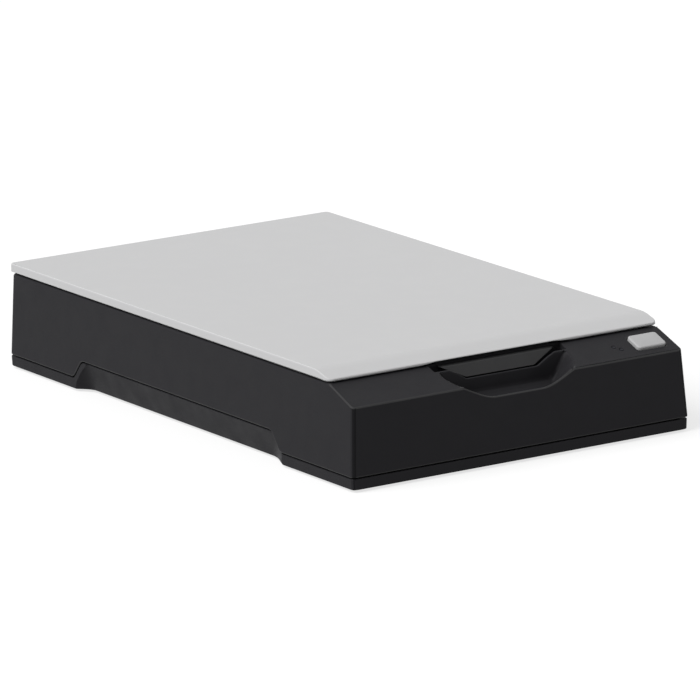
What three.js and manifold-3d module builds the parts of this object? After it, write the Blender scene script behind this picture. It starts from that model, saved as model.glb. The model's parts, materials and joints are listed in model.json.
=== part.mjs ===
// A compact flatbed document scanner with a hinged lid, built from its separate pieces.
// Millimetres. X runs to the right seen from the front, Y to the back, Z up from the table.
import * as THREE from "three";
import { ConvexGeometry } from "three/addons/geometries/ConvexGeometry.js";
import { mergeVertices } from "three/addons/utils/BufferGeometryUtils.js";
import Module from "manifold-3d";

const wasm = await Module();
wasm.setup();

// Overall size
const CASE_WIDTH = 145;
const CASE_DEPTH = 234;
const TOTAL_HEIGHT = 40;
const FOOT_HEIGHT = 1;

// Clearances: FIT_GAP lies round a piece in its place, SEAT_GAP under a piece on its seat
const FIT_GAP = 0.3;
const SEAT_GAP = 0.1;
const OVERRUN = 5;

// Casing shells
const PARTING_RISE = 4.25;
const GRIP_PARTING_RISE = 11.1;
const UPPER_WALL = 2.2;
const LOWER_WALL = 2.5;
const FLOOR_THICKNESS = 2.5;
const LOWER_SET_IN = 0.5;
const LOWER_BOTTOM_LEAN = 0.23;
const SIDE_DRAFT = 1.9;
const FRONT_DRAFT = 1.98;
const REAR_DRAFT = 0.15;
const CORNER_RADIUS = 2.5;
const TONGUE_INSET = 2;
const TONGUE_THICKNESS = 1;
const TONGUE_RISE = 1.5;

// Grip recess along each long side of the lower casing
const GRIP_DEPTH = 4.1;
const GRIP_FRONT_FROM_FRONT = 45.7;
const GRIP_FRONT_SLOPE = 9.3;
const GRIP_REAR_FROM_REAR = 47.35;
const GRIP_REAR_SLOPE = 5.65;
const STEP_FRONT_FROM_FRONT = 47.1;
const STEP_FRONT_SLOPE = 6.9;
const STEP_REAR_FROM_REAR = 45.7;
const STEP_REAR_SLOPE = 7.6;

// Sloped control strip at the front
const CREST_FROM_FRONT = 24.92;
const BREAK_FROM_FRONT = 16.87;
const BREAK_DROP = 0.67;
const STRIP_EDGE_FROM_FRONT = 1.59;
const STRIP_DROP = 6.08;

// Finger notch under the lid's handle
const NOTCH_LIP_HALF_WIDTH = 15.6;
const NOTCH_FLARE = 9.2;
const NOTCH_BACK_FLARE = 3;
const NOTCH_LIP_DROP = 10.67;
const NOTCH_FLARE_DROP = 5.85;
const NOTCH_DEPTH = 17.6;
const NOTCH_BACK_LEAN = 1.6;
const NOTCH_WALL = 1.8;

// Lid
const LID_THICKNESS = 3.1;
const LID_GAP = 0.56;
const LID_SET_IN = 1.5;
const LID_FRONT_FROM_FRONT = 16.67;
const LID_CORNER_RADIUS = 3.5;
const LID_EDGE_RADIUS = 1.1;
const LID_SKIN = 1.7;
const LID_RIM = 1.8;
const LID_NOSE_LENGTH = 8.4;
const LID_NOSE_DROP = 2.2;
const LID_NOSE_DIP = 0.4;
const LID_POCKET_FROM_FRONT = 6.4;
const NOSE_POCKET_HALF_WIDTH = 27.5;
const NOSE_POCKET_DEPTH = 0.95;
const NOSE_RIM = 0.8;
const FRAME_THICKNESS = 1.3;

// Handle lip on the lid frame
const HANDLE_TOP_HALF_WIDTH = 24.6;
const HANDLE_BOTTOM_HALF_WIDTH = 14.7;
const HANDLE_FACE_TOP_DROP = 1.6;
const HANDLE_FACE_HEIGHT = 4.6;
const HANDLE_FACE_FROM_LID = 0.9;
const HANDLE_FACE_LEAN = 2.2;
const HANDLE_THICKNESS = 1.5;
const HANDLE_ROOT_LENGTH = 2.6;

// Lid hinge at the back
const HINGE_FROM_SIDE = 27.5;
const HINGE_FROM_REAR = 1.9;
const HINGE_BELOW_LID = 6.1;
const HINGE_PIN_RADIUS = 1;
const PIN_HOLE_GAP = 0.15;
const EAR_RADIUS = 1.85;
const EAR_HALF_WIDTH = 2.6;
const EAR_ROOT_LENGTH = 3.7;
const CHEEK_THICKNESS = 4;
const CHEEK_RISE = 2.4;
const CHEEK_LENGTH = 8.6;
const POST_HEIGHT = 12;
const WELL_WALL = 1.8;
const WELL_FLOOR = 1.8;
const NOTCH_BELOW_HINGE = 2.6;

// Platen window, glass and document pad
const WINDOW_FROM_SIDE = 18.5;
const WINDOW_FROM_CREST = 6;
const WINDOW_FROM_REAR = 51.08;
const WINDOW_RADIUS = 2;
const WINDOW_LIP = 1.2;
const GLASS_MARGIN = 4;
const GLASS_THICKNESS = 2;
const GASKET_THICKNESS = 0.5;
const GASKET_WIDTH = 1.2;
const GLASS_RIM = 1.7;
const PAD_MARGIN = 1;
const PAD_SHEET_THICKNESS = 0.3;
const CALIBRATION_WIDTH = 1.9;

// Scan button, lenses and the board under the strip
const BUTTON_WIDTH = 12.8;
const BUTTON_LENGTH = 8.7;
const BUTTON_RADIUS = 1.6;
const BUTTON_FROM_SIDE = 11.4;
const BUTTON_FROM_FRONT = 9.5;
const BUTTON_PROUD = 1.2;
const BUTTON_CROWN = 0.5;
const BUTTON_FLANGE = 0.6;
const BUTTON_FLANGE_THICKNESS = 0.8;
const BUTTON_TRAVEL = 0.8;
const BUTTON_STEM_RADIUS = 1.2;
const BUTTON_SPRING_WIRE = 0.5;
const LENS_RADIUS = 0.7;
const LENS_PROUD = 0.08;
const LENS_LENGTH = 5.2;
const POWER_LENS_LEFT = 14.7;
const STATUS_LENS_LEFT = 12.7;
const STATUS_LENS_DOWN = 2;
const BOARD_THICKNESS = 1.2;
const BUTTON_BOARD_DEPTH = 7.3;
const BUTTON_BOARD_LEFT = 17.4;
const BUTTON_BOARD_RIGHT = 6.2;
const BUTTON_BOARD_HALF_LENGTH = 5.2;
const BUTTON_BOSS_LEFT = 9.4;
const BUTTON_BOSS_RADIUS = 1.9;
const SWITCH_SIZE = 5;
const SWITCH_HEIGHT = 1.5;
const LED_SIZE = 1.6;
const LED_HEIGHT = 0.9;

// Fasteners and feet
const CASE_SCREW_RADIUS = 1.2;
const CASE_SCREW_LENGTH = 15;
const CASE_SCREW_HEAD_RADIUS = 2.7;
const CASE_SCREW_HEAD_HEIGHT = 1.6;
const SCREW_HEAD_DEPTH = 0.8;
const FRONT_SCREW_FROM_SIDE = 35.5;
const FRONT_SCREW_FROM_FRONT = 7.5;
const REAR_SCREW_FROM_SIDE = 10.5;
const REAR_SCREW_FROM_REAR = 9;
const COLUMN_RADIUS = 3.4;
const SCREW_PAD_RADIUS = 4.6;
const SCREW_PAD_HEIGHT = 4.5;
const SMALL_SCREW_RADIUS = 0.8;
const SMALL_SCREW_HEAD_RADIUS = 1.7;
const SMALL_SCREW_HEAD_HEIGHT = 1.1;
const FOOT_RADIUS = 5;
const FOOT_SEAT_DEPTH = 0.5;
const FOOT_FROM_SIDE = 12.5;
const FOOT_FROM_FRONT = 21;
const FOOT_FROM_REAR = 21;

// Sensor carriage, at home under the calibration strip
const SENSOR_HOME_FROM_GLASS = 3;
const SENSOR_END = 5.5;
const SENSOR_DEPTH = 14;
const SENSOR_HEIGHT = 11;
const SENSOR_BELOW_GLASS = 1.4;
const SENSOR_PANE_DEPTH = 10;
const SENSOR_PANE_THICKNESS = 0.5;
const LENS_ARRAY_DEPTH = 2;
const LENS_ARRAY_HEIGHT = 6;
const LENS_ARRAY_BACK = 2.5;
const LIGHT_GUIDE_DEPTH = 3;
const LIGHT_GUIDE_HEIGHT = 4;
const LIGHT_GUIDE_FRONT = 3;
const SENSOR_CHANNEL_DEPTH = 7;
const SLIDER_LENGTH = 8;
const SLIDER_WIDTH = 3;
const SPRING_FROM_SENSOR_END = 17.5;
const SENSOR_SPRING_RADIUS = 3;
const SENSOR_SPRING_WIRE = 0.8;
const SPRING_POCKET_DEPTH = 2.6;
const CARRIAGE_DROP = 2.2;
const CARRIAGE_PLATE = 2;
const CARRIAGE_WALL = 1.5;
const CARRIAGE_MARGIN = 0.6;
const CARRIAGE_WALL_RISE = 8;
const CARRIAGE_LIP_RISE = 4;

// Guide shaft, belt and pulleys
const SHAFT_X = -14;
const SHAFT_RADIUS = 2.5;
const SHAFT_RISE = 7.5;
const SHAFT_RUNNING_GAP = 0.08;
const SHAFT_FRONT_FROM_FRONT = 14;
const SHAFT_REAR_FROM_REAR = 38.5;
const SADDLE_WIDTH = 10;
const SADDLE_LENGTH = 4.5;
const SADDLE_COVER = 2;
const BEARING_HALF_WIDTH = 5;
const BEARING_HALF_LENGTH = 6.5;
const PULLEY_FROM_SIDE = 50.5;
const PULLEY_RADIUS = 6;
const PULLEY_BOTTOM_RISE = 3.8;
const PULLEY_FLANGE = 0.8;
const PULLEY_FLANGE_REACH = 1.9;
const BELT_WIDTH = 4;
const BELT_THICKNESS = 1;
const BELT_STEPS = 10;
const IDLER_FROM_FRONT = 13;
const DRIVE_FROM_REAR = 29;
const AXLE_RADIUS = 1.5;
const AXLE_RUNNING_GAP = 0.1;
const AXLE_BOSS_WALL = 1.7;
const CLIP_HALF_WIDTH = 2.8;
const CLIP_HALF_LENGTH = 5;

// Gear train from the motor to the belt
const GEAR_MODULE = 0.8;
const PINION_TEETH = 10;
const WHEEL_TEETH = 30;
const SMALL_TEETH = 12;
const DRIVE_TEETH = 24;
const TOOTH_BACKLASH = 0.3;
const ADDENDUM_SHARE = 0.75;
const DEDENDUM_SHARE = 1.15;
const GEAR_WIDTH = 3;
const WHEEL_WIDTH = 2;
const GEAR_STEP = 0.8;
const REDUCTION_DIRECTION = THREE.MathUtils.degToRad(20);
const MOTOR_DIRECTION = THREE.MathUtils.degToRad(-20);
const PRESSURE_ANGLE = THREE.MathUtils.degToRad(20);

// Motor and its bracket
const MOTOR_RADIUS = 11;
const MOTOR_BELOW_CEILING = 0.94;
const MOTOR_SHAFT_RADIUS = 1;
const MOTOR_FLANGE = 0.9;
const MOTOR_SCREW_REACH = 13.5;
const BRACKET_THICKNESS = 1.2;
const BRACKET_REACH = 16;
const BRACKET_FRONT = 6.6;
const BRACKET_BACK = 7;
const BRACKET_LEG_LEFT = 4;

// Belt tensioner
const BRACKET_PLATE = 1.5;
const IDLER_PLATE_HALF = 8;
const TENSION_SPRING_FROM_PULLEY = 12;
const TENSION_SPRING_RADIUS = 2.4;
const TENSION_SPRING_WIRE = 0.6;
const TENSION_SPRING_LENGTH = 11;
const TENSION_EAR_HEIGHT = 6.4;
const TENSION_EAR_HALF = 3;
const TENSION_EAR_THICKNESS = 1.4;

// Main board, its sockets and the ribbon to the sensor
const MAIN_BOARD_FROM_SIDE = 15.5;
const MAIN_BOARD_FROM_PULLEY = 13;
const MAIN_BOARD_FROM_REAR = 5;
const MAIN_BOARD_LENGTH = 31;
const MAIN_BOARD_RISE = 4.5;
const STANDOFF_RADIUS = 2.4;
const STANDOFF_INSET = 3.4;
const USB_FROM_POWER = 15;
const USB_WIDTH = 7.7;
const USB_HEIGHT = 4;
const USB_LENGTH = 9;
const USB_WALL = 0.5;
const USB_TONGUE = 0.9;
const POWER_FROM_BOARD_END = 12;
const POWER_WIDTH = 9;
const POWER_HEIGHT = 11;
const POWER_LENGTH = 14;
const POWER_BORE_RADIUS = 3.1;
const POWER_PIN_RADIUS = 1;
const SOCKET_FROM_WALL = 0.4;
const SOCKET_WINDOW_GAP = 0.6;
const CHIP_SIZE = 14;
const CHIP_HEIGHT = 1.6;
const CHIP_FROM_BOARD_END = 17;
const RIBBON_FROM_BOARD_END = 15;
const RIBBON_WIDTH = 18;
const RIBBON_THICKNESS = 0.4;
const RIBBON_BELOW_PLATE = 0.84;
const RIBBON_BEND_FROM_SENSOR = 10.5;
const RIBBON_DROP_RADIUS = 3;
const CONNECTOR_LENGTH = 4.5;
const CONNECTOR_HEIGHT = 2.6;

// Smoothness of round shapes
const CORNER_STEPS = 4;
const LID_EDGE_STEPS = 2;
const HEX_SIDES = 6;
const ROUND_SIDES = 24;
const SMALL_SIDES = 12;
const CURVE_STEPS = 5;
const QUARTER_TURN = Math.PI / 2;
const HALF_TURN = Math.PI;
const FULL_TURN = Math.PI * 2;

// Heights and places that follow from the sizes above
const HALF_WIDTH = CASE_WIDTH / 2;
const FRONT_Y = -CASE_DEPTH / 2;
const REAR_Y = CASE_DEPTH / 2;
const BOTTOM_Z = FOOT_HEIGHT;
const FLOOR_Z = BOTTOM_Z + FLOOR_THICKNESS;
const PARTING_Z = BOTTOM_Z + PARTING_RISE;
const GRIP_PARTING_Z = BOTTOM_Z + GRIP_PARTING_RISE;
const LID_BOTTOM_Z = TOTAL_HEIGHT - LID_THICKNESS;
const BASE_TOP_Z = LID_BOTTOM_Z - LID_GAP;
const CEILING_Z = BASE_TOP_Z - UPPER_WALL;
const CREST_Y = FRONT_Y + CREST_FROM_FRONT;
const BREAK_Y = FRONT_Y + BREAK_FROM_FRONT;
const BREAK_Z = BASE_TOP_Z - BREAK_DROP;
const STRIP_EDGE_Y = FRONT_Y + STRIP_EDGE_FROM_FRONT;
const STRIP_EDGE_Z = BASE_TOP_Z - STRIP_DROP;
const STRIP_ANGLE = Math.atan2(BREAK_Z - STRIP_EDGE_Z, BREAK_Y - STRIP_EDGE_Y);
const LID_HALF_WIDTH = HALF_WIDTH - LID_SET_IN;
const LID_FRONT_Y = FRONT_Y + LID_FRONT_FROM_FRONT;
const HINGE_X = HALF_WIDTH - HINGE_FROM_SIDE;
const HINGE_Y = REAR_Y - HINGE_FROM_REAR;
const HINGE_Z = LID_BOTTOM_Z - HINGE_BELOW_LID;
const REAR_INNER_Y = REAR_Y - REAR_DRAFT - UPPER_WALL;
const WINDOW_FRONT_Y = CREST_Y + WINDOW_FROM_CREST;
const WINDOW_REAR_Y = REAR_Y - WINDOW_FROM_REAR;
const WINDOW_HALF = HALF_WIDTH - WINDOW_FROM_SIDE;
const LIP_BOTTOM_Z = BASE_TOP_Z - WINDOW_LIP;
const GASKET_TOP_Z = LIP_BOTTOM_Z - SEAT_GAP;
const GLASS_TOP_Z = GASKET_TOP_Z - GASKET_THICKNESS - SEAT_GAP;
const GLASS_BOTTOM_Z = GLASS_TOP_Z - GLASS_THICKNESS;
const GLASS_HALF = WINDOW_HALF + GLASS_MARGIN;
const GLASS_FRONT_Y = WINDOW_FRONT_Y - GLASS_MARGIN;
const GLASS_REAR_Y = WINDOW_REAR_Y + GLASS_MARGIN;
const BUTTON_X = HALF_WIDTH - BUTTON_FROM_SIDE;
const BUTTON_Y = FRONT_Y + BUTTON_FROM_FRONT;
const BUTTON_Z = STRIP_EDGE_Z + (BUTTON_Y - STRIP_EDGE_Y) * Math.tan(STRIP_ANGLE);
const SENSOR_Y = GLASS_FRONT_Y + SENSOR_HOME_FROM_GLASS;
const SENSOR_TOP_Z = GLASS_BOTTOM_Z - SENSOR_BELOW_GLASS;
const SENSOR_BOTTOM_Z = SENSOR_TOP_Z - SENSOR_HEIGHT;
const PLATE_TOP_Z = SENSOR_BOTTOM_Z - CARRIAGE_DROP;
const PLATE_BOTTOM_Z = PLATE_TOP_Z - CARRIAGE_PLATE;
const SENSOR_HALF = WINDOW_HALF + SENSOR_END;
const SPRING_FROM_CENTRE = SENSOR_HALF - SPRING_FROM_SENSOR_END;
const SHAFT_Z = FLOOR_Z + SHAFT_RISE;
const SHAFT_FRONT_Y = FRONT_Y + SHAFT_FRONT_FROM_FRONT;
const SHAFT_REAR_Y = REAR_Y - SHAFT_REAR_FROM_REAR;
const PULLEY_X = HALF_WIDTH - PULLEY_FROM_SIDE;
const TENSION_SPRING_X = PULLEY_X + TENSION_SPRING_FROM_PULLEY;
const IDLER_Y = FRONT_Y + IDLER_FROM_FRONT;
const DRIVE_Y = REAR_Y - DRIVE_FROM_REAR;
const PULLEY_BOTTOM_Z = FLOOR_Z + PULLEY_BOTTOM_RISE;
const BELT_BOTTOM_Z = PULLEY_BOTTOM_Z + PULLEY_FLANGE + FIT_GAP;
const BELT_TOP_Z = BELT_BOTTOM_Z + BELT_WIDTH;
const PULLEY_TOP_Z = BELT_TOP_Z + FIT_GAP + PULLEY_FLANGE;
const BELT_INNER_RADIUS = PULLEY_RADIUS + FIT_GAP;
const BELT_OUTER_RADIUS = BELT_INNER_RADIUS + BELT_THICKNESS;
const BELT_RUN_X = PULLEY_X - (BELT_INNER_RADIUS + BELT_OUTER_RADIUS) / 2;
const DRIVE_GEAR_TOP_Z = PULLEY_TOP_Z + GEAR_WIDTH;
const WHEEL_BOTTOM_Z = DRIVE_GEAR_TOP_Z + GEAR_STEP;
const WHEEL_TOP_Z = WHEEL_BOTTOM_Z + WHEEL_WIDTH;
const BRACKET_BOTTOM_Z = WHEEL_TOP_Z + GEAR_STEP + FIT_GAP;
const BRACKET_TOP_Z = BRACKET_BOTTOM_Z + BRACKET_THICKNESS;
const MOTOR_BOTTOM_Z = BRACKET_TOP_Z + SEAT_GAP;
const MOTOR_TOP_Z = CEILING_Z - MOTOR_BELOW_CEILING;
const MOTOR_MIDDLE_Z = (MOTOR_BOTTOM_Z + MOTOR_TOP_Z) / 2;
const REDUCTION_DISTANCE = (GEAR_MODULE * (DRIVE_TEETH + SMALL_TEETH)) / 2;
const MOTOR_DISTANCE = (GEAR_MODULE * (WHEEL_TEETH + PINION_TEETH)) / 2;
const REDUCTION_X = PULLEY_X + REDUCTION_DISTANCE * Math.cos(REDUCTION_DIRECTION);
const REDUCTION_Y = DRIVE_Y + REDUCTION_DISTANCE * Math.sin(REDUCTION_DIRECTION);
const MOTOR_X = REDUCTION_X + MOTOR_DISTANCE * Math.cos(MOTOR_DIRECTION);
const MOTOR_Y = REDUCTION_Y + MOTOR_DISTANCE * Math.sin(MOTOR_DIRECTION);
const MAIN_BOARD_LEFT = -HALF_WIDTH + MAIN_BOARD_FROM_SIDE;
const MAIN_BOARD_RIGHT = PULLEY_X - MAIN_BOARD_FROM_PULLEY;
const POWER_X = MAIN_BOARD_RIGHT - POWER_FROM_BOARD_END;
const USB_X = POWER_X - USB_FROM_POWER;
const CHIP_X = MAIN_BOARD_LEFT + CHIP_FROM_BOARD_END;
const RIBBON_X = MAIN_BOARD_LEFT + RIBBON_FROM_BOARD_END;
const BOARD_BOTTOM_Z = FLOOR_Z + MAIN_BOARD_RISE;
const BOARD_TOP_Z = BOARD_BOTTOM_Z + BOARD_THICKNESS;
const BOARD_REAR_Y = REAR_Y - MAIN_BOARD_FROM_REAR;
const BOARD_FRONT_Y = BOARD_REAR_Y - MAIN_BOARD_LENGTH;
const SOCKET_REAR_Y = REAR_INNER_Y - SOCKET_FROM_WALL;

// Materials
const casingBlack = () => new THREE.MeshStandardMaterial({ color: 0x26272a, roughness: 0.55 });
const lidGrey = () => new THREE.MeshStandardMaterial({ color: 0xc9cacc, roughness: 0.5 });
const keyGrey = () => new THREE.MeshStandardMaterial({ color: 0xb9babc, roughness: 0.45 });
const whitePlastic = () => new THREE.MeshStandardMaterial({ color: 0xf1f1ee, roughness: 0.6 });
const padFoam = () => new THREE.MeshStandardMaterial({ color: 0x55565a, roughness: 0.95 });
const clearGlass = () => new THREE.MeshStandardMaterial({ color: 0xcfe0dc, roughness: 0.05 });
const lensBlue = () => new THREE.MeshStandardMaterial({ color: 0x2c3c66, roughness: 0.2 });
const rubber = () => new THREE.MeshStandardMaterial({ color: 0x1b1b1c, roughness: 0.9 });
const steel = () => new THREE.MeshStandardMaterial({ color: 0xb4b6b9, roughness: 0.3, metalness: 1 });
const board = () => new THREE.MeshStandardMaterial({ color: 0x1f5a34, roughness: 0.5 });
const gearWhite = () => new THREE.MeshStandardMaterial({ color: 0xe6e3d8, roughness: 0.5 });
const darkPlastic = () => new THREE.MeshStandardMaterial({ color: 0x303134, roughness: 0.6 });

// Solids: a closed geometry becomes a solid that can be cut and joined
function solidOf(geometry) {
  const bare = new THREE.BufferGeometry();
  bare.setAttribute("position", geometry.getAttribute("position").clone());
  if (geometry.index) bare.setIndex(geometry.index.clone());
  const merged = mergeVertices(bare);
  const vertProperties = merged.attributes.position.array;
  const triVerts = new Uint32Array(merged.index.array);
  return new wasm.Manifold(new wasm.Mesh({ numProp: 3, vertProperties, triVerts }));
}

function geometryOf(solid) {
  const mesh = solid.getMesh();
  const geometry = new THREE.BufferGeometry();
  geometry.setAttribute("position", new THREE.BufferAttribute(mesh.vertProperties, 3));
  geometry.setIndex(new THREE.BufferAttribute(mesh.triVerts, 1));
  return geometry;
}

function joined(solids) {
  return solids.reduce((whole, piece) => whole.add(piece));
}

function cut(solid, tools) {
  return tools.reduce((left, tool) => left.subtract(tool), solid);
}

// A box from three [low, high] pairs
function block(x, y, z) {
  const geometry = new THREE.BoxGeometry(x[1] - x[0], y[1] - y[0], z[1] - z[0]);
  geometry.translate((x[0] + x[1]) / 2, (y[0] + y[1]) / 2, (z[0] + z[1]) / 2);
  return solidOf(geometry);
}

// A round bar between two points
function bar(radius, from, to, sides = ROUND_SIDES) {
  const start = new THREE.Vector3(...from);
  const span = new THREE.Vector3(...to).sub(start);
  const geometry = new THREE.CylinderGeometry(radius, radius, span.length(), sides);
  const upright = new THREE.Vector3(0, 1, 0);
  geometry.applyQuaternion(new THREE.Quaternion().setFromUnitVectors(upright, span.clone().normalize()));
  geometry.translate(...start.addScaledVector(span, 1 / 2).toArray());
  return solidOf(geometry);
}

function upright(radius, x, y, bottom, top, sides = ROUND_SIDES) {
  return bar(radius, [x, y, bottom], [x, y, top], sides);
}

// An extruded outline; the basis says which way its two axes and its depth run
function prism(points, depth, basis, start) {
  const shape = new THREE.Shape(points.map(([a, b]) => new THREE.Vector2(a, b)));
  const geometry = new THREE.ExtrudeGeometry(shape, { depth, bevelEnabled: false, steps: 1 });
  geometry.applyMatrix4(new THREE.Matrix4().makeBasis(...basis));
  geometry.translate(...start);
  return solidOf(geometry);
}

const X_WAY = new THREE.Vector3(1, 0, 0);
const Y_WAY = new THREE.Vector3(0, 1, 0);
const Z_WAY = new THREE.Vector3(0, 0, 1);
const BACKWARD = new THREE.Vector3(0, -1, 0);

// Outlines drawn in (y, z), (x, z) and (x, y)
function sideways(points, x) {
  return prism(points, x[1] - x[0], [Y_WAY, Z_WAY, X_WAY], [x[0], 0, 0]);
}

function lengthways(points, y) {
  return prism(points, y[1] - y[0], [X_WAY, Z_WAY, BACKWARD], [0, y[1], 0]);
}

function upwards(points, z) {
  return prism(points, z[1] - z[0], [X_WAY, Y_WAY, Z_WAY], [0, 0, z[0]]);
}

function hull(points) {
  return solidOf(new ConvexGeometry(points.map((p) => new THREE.Vector3(...p))));
}

function arc(centreX, centreY, radius, from, to, steps) {
  return Array.from({ length: steps + 1 }, (_, step) => {
    const angle = from + ((to - from) * step) / steps;
    return [centreX + radius * Math.cos(angle), centreY + radius * Math.sin(angle)];
  });
}

function roundedRectangle(x, y, radius, steps = CORNER_STEPS) {
  return [
    ...arc(x[1] - radius, y[1] - radius, radius, 0, QUARTER_TURN, steps),
    ...arc(x[0] + radius, y[1] - radius, radius, QUARTER_TURN, HALF_TURN, steps),
    ...arc(x[0] + radius, y[0] + radius, radius, HALF_TURN, HALF_TURN + QUARTER_TURN, steps),
    ...arc(x[1] - radius, y[0] + radius, radius, HALF_TURN + QUARTER_TURN, FULL_TURN, steps),
  ];
}

// A stack of outlines with the same number of points, closed at the bottom and the top
function loft(levels) {
  const count = levels[0].outline.length;
  const positions = levels.flatMap(({ outline, z }) => outline.flatMap(([x, y]) => [x, y, z]));
  const index = [];
  for (let level = 0; level < levels.length - 1; level++) {
    for (let i = 0; i < count; i++) {
      const here = level * count + i;
      const next = level * count + ((i + 1) % count);
      index.push(here, next, next + count, here, next + count, here + count);
    }
  }
  const last = (levels.length - 1) * count;
  for (let i = 1; i < count - 1; i++) {
    index.push(0, i + 1, i, last, last + i, last + i + 1);
  }
  const geometry = new THREE.BufferGeometry();
  geometry.setAttribute("position", new THREE.BufferAttribute(new Float32Array(positions), 3));
  geometry.setIndex(index);
  return solidOf(geometry);
}

// A ring turned about an upright axis, such as a spring's outer shape
function ring(inner, outer, x, y, bottom, top, sides = ROUND_SIDES) {
  const profile = [[inner, bottom], [outer, bottom], [outer, top], [inner, top], [inner, bottom]];
  const geometry = new THREE.LatheGeometry(profile.map(([r, h]) => new THREE.Vector2(r, h)), sides);
  geometry.rotateX(QUARTER_TURN);
  geometry.translate(x, y, 0);
  return solidOf(geometry);
}

const root = new THREE.Group();

function addPiece(name, solid, material, parent = root) {
  const mesh = new THREE.Mesh(geometryOf(solid), material);
  mesh.name = name;
  parent.add(mesh);
}

// The casing's outer shape, drawn in by an inset and leaning in as it rises from the parting line
function casingOutline(side, front, rear, inset) {
  const half = HALF_WIDTH - side - inset;
  const radius = Math.max(CORNER_RADIUS - inset, CORNER_RADIUS / CORNER_STEPS);
  return roundedRectangle([-half, half], [FRONT_Y + front + inset, REAR_Y - rear - inset], radius);
}

function upperLevel(z, inset) {
  const share = (z - PARTING_Z) / (BASE_TOP_Z - PARTING_Z);
  return { outline: casingOutline(SIDE_DRAFT * share, FRONT_DRAFT * share, REAR_DRAFT * share, inset), z };
}

function upperBody(inset, bottom, drop) {
  const solid = loft([upperLevel(bottom, inset), upperLevel(BASE_TOP_Z - drop, inset)]);
  return solid.subtract(aboveStrip(drop));
}

// All that lies over the crest, the break and the sloped strip
function aboveStrip(drop) {
  const run = OVERRUN + UPPER_WALL;
  const high = BASE_TOP_Z + OVERRUN;
  const outline = [
    [STRIP_EDGE_Y - run, STRIP_EDGE_Z - drop - run * Math.tan(STRIP_ANGLE)],
    [BREAK_Y, BREAK_Z - drop],
    [CREST_Y, BASE_TOP_Z - drop],
    [CREST_Y, high],
    [STRIP_EDGE_Y - run, high],
  ];
  return sideways(outline, [-HALF_WIDTH - OVERRUN, HALF_WIDTH + OVERRUN]);
}

// The line where the two shells meet: low at the ends, high over the grip recesses
function partingLine(shift) {
  const stepFront = FRONT_Y + STEP_FRONT_FROM_FRONT;
  const stepRear = REAR_Y - STEP_REAR_FROM_REAR;
  return [
    [FRONT_Y - OVERRUN, PARTING_Z + shift],
    [stepFront, PARTING_Z + shift],
    [stepFront + STEP_FRONT_SLOPE, GRIP_PARTING_Z + shift],
    [stepRear - STEP_REAR_SLOPE, GRIP_PARTING_Z + shift],
    [stepRear, PARTING_Z + shift],
    [REAR_Y + OVERRUN, PARTING_Z + shift],
  ];
}

function besideParting(shift, farZ) {
  const ends = [[REAR_Y + OVERRUN, farZ], [FRONT_Y - OVERRUN, farZ]];
  return sideways([...partingLine(shift), ...ends], [-HALF_WIDTH - OVERRUN, HALF_WIDTH + OVERRUN]);
}

// The finger notch: a scoop that widens upwards and backwards, grown by a margin for its walls
function notchShape(grow) {
  const lipZ = BASE_TOP_Z - NOTCH_LIP_DROP - grow;
  const flareZ = BASE_TOP_Z - NOTCH_FLARE_DROP;
  const frontY = FRONT_Y - OVERRUN;
  const backY = FRONT_Y + NOTCH_DEPTH + grow;
  const topZ = BASE_TOP_Z + OVERRUN;
  const points = [];
  for (const side of [-1, 1]) {
    const low = side * (NOTCH_LIP_HALF_WIDTH + grow);
    const wide = side * (NOTCH_LIP_HALF_WIDTH + NOTCH_FLARE + grow);
    const widest = side * (NOTCH_LIP_HALF_WIDTH + NOTCH_FLARE + NOTCH_BACK_FLARE + grow);
    points.push([low, frontY, lipZ], [low, backY, lipZ]);
    points.push([wide, frontY, flareZ], [widest, backY + NOTCH_BACK_LEAN, flareZ]);
    points.push([wide, frontY, topZ], [widest, backY + NOTCH_BACK_LEAN, topZ]);
  }
  return hull(points);
}

function wellShape(side, grow) {
  const half = EAR_HALF_WIDTH + FIT_GAP + CHEEK_THICKNESS + FIT_GAP + grow;
  const frontY = HINGE_Y + EAR_RADIUS - CHEEK_LENGTH - FIT_GAP - grow;
  const backY = REAR_INNER_Y + grow;
  const floorZ = HINGE_Z - NOTCH_BELOW_HINGE - POST_HEIGHT - SEAT_GAP - (grow > 0 ? WELL_FLOOR : 0);
  const topZ = BASE_TOP_Z + (grow > 0 ? -LID_GAP : OVERRUN);
  const x = side * HINGE_X;
  return block([x - half, x + half], [frontY, backY], [floorZ, topZ]);
}

function hingeNotch(side) {
  const half = EAR_HALF_WIDTH + FIT_GAP + CHEEK_THICKNESS + FIT_GAP;
  const x = side * HINGE_X;
  const low = HINGE_Z - NOTCH_BELOW_HINGE - FIT_GAP;
  const throughWall = [REAR_INNER_Y - UPPER_WALL, REAR_Y + OVERRUN];
  return block([x - half, x + half], throughWall, [low, BASE_TOP_Z + OVERRUN]);
}

const frontScrewX = HALF_WIDTH - FRONT_SCREW_FROM_SIDE;
const rearScrewX = HALF_WIDTH - REAR_SCREW_FROM_SIDE;
const SCREW_PLACES = [
  ["front_left", -frontScrewX, FRONT_Y + FRONT_SCREW_FROM_FRONT],
  ["front_right", frontScrewX, FRONT_Y + FRONT_SCREW_FROM_FRONT],
  ["rear_left", -rearScrewX, REAR_Y - REAR_SCREW_FROM_REAR],
  ["rear_right", rearScrewX, REAR_Y - REAR_SCREW_FROM_REAR],
];

// The control strip's own frame: origin on its surface at the button, Z out of the surface
const strip = new THREE.Group();
strip.position.set(BUTTON_X, BUTTON_Y, BUTTON_Z);
strip.rotation.x = STRIP_ANGLE;
strip.updateMatrix();
root.add(strip);

function onStrip(solid) {
  return solidOf(geometryOf(solid).applyMatrix4(strip.matrix));
}

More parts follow.
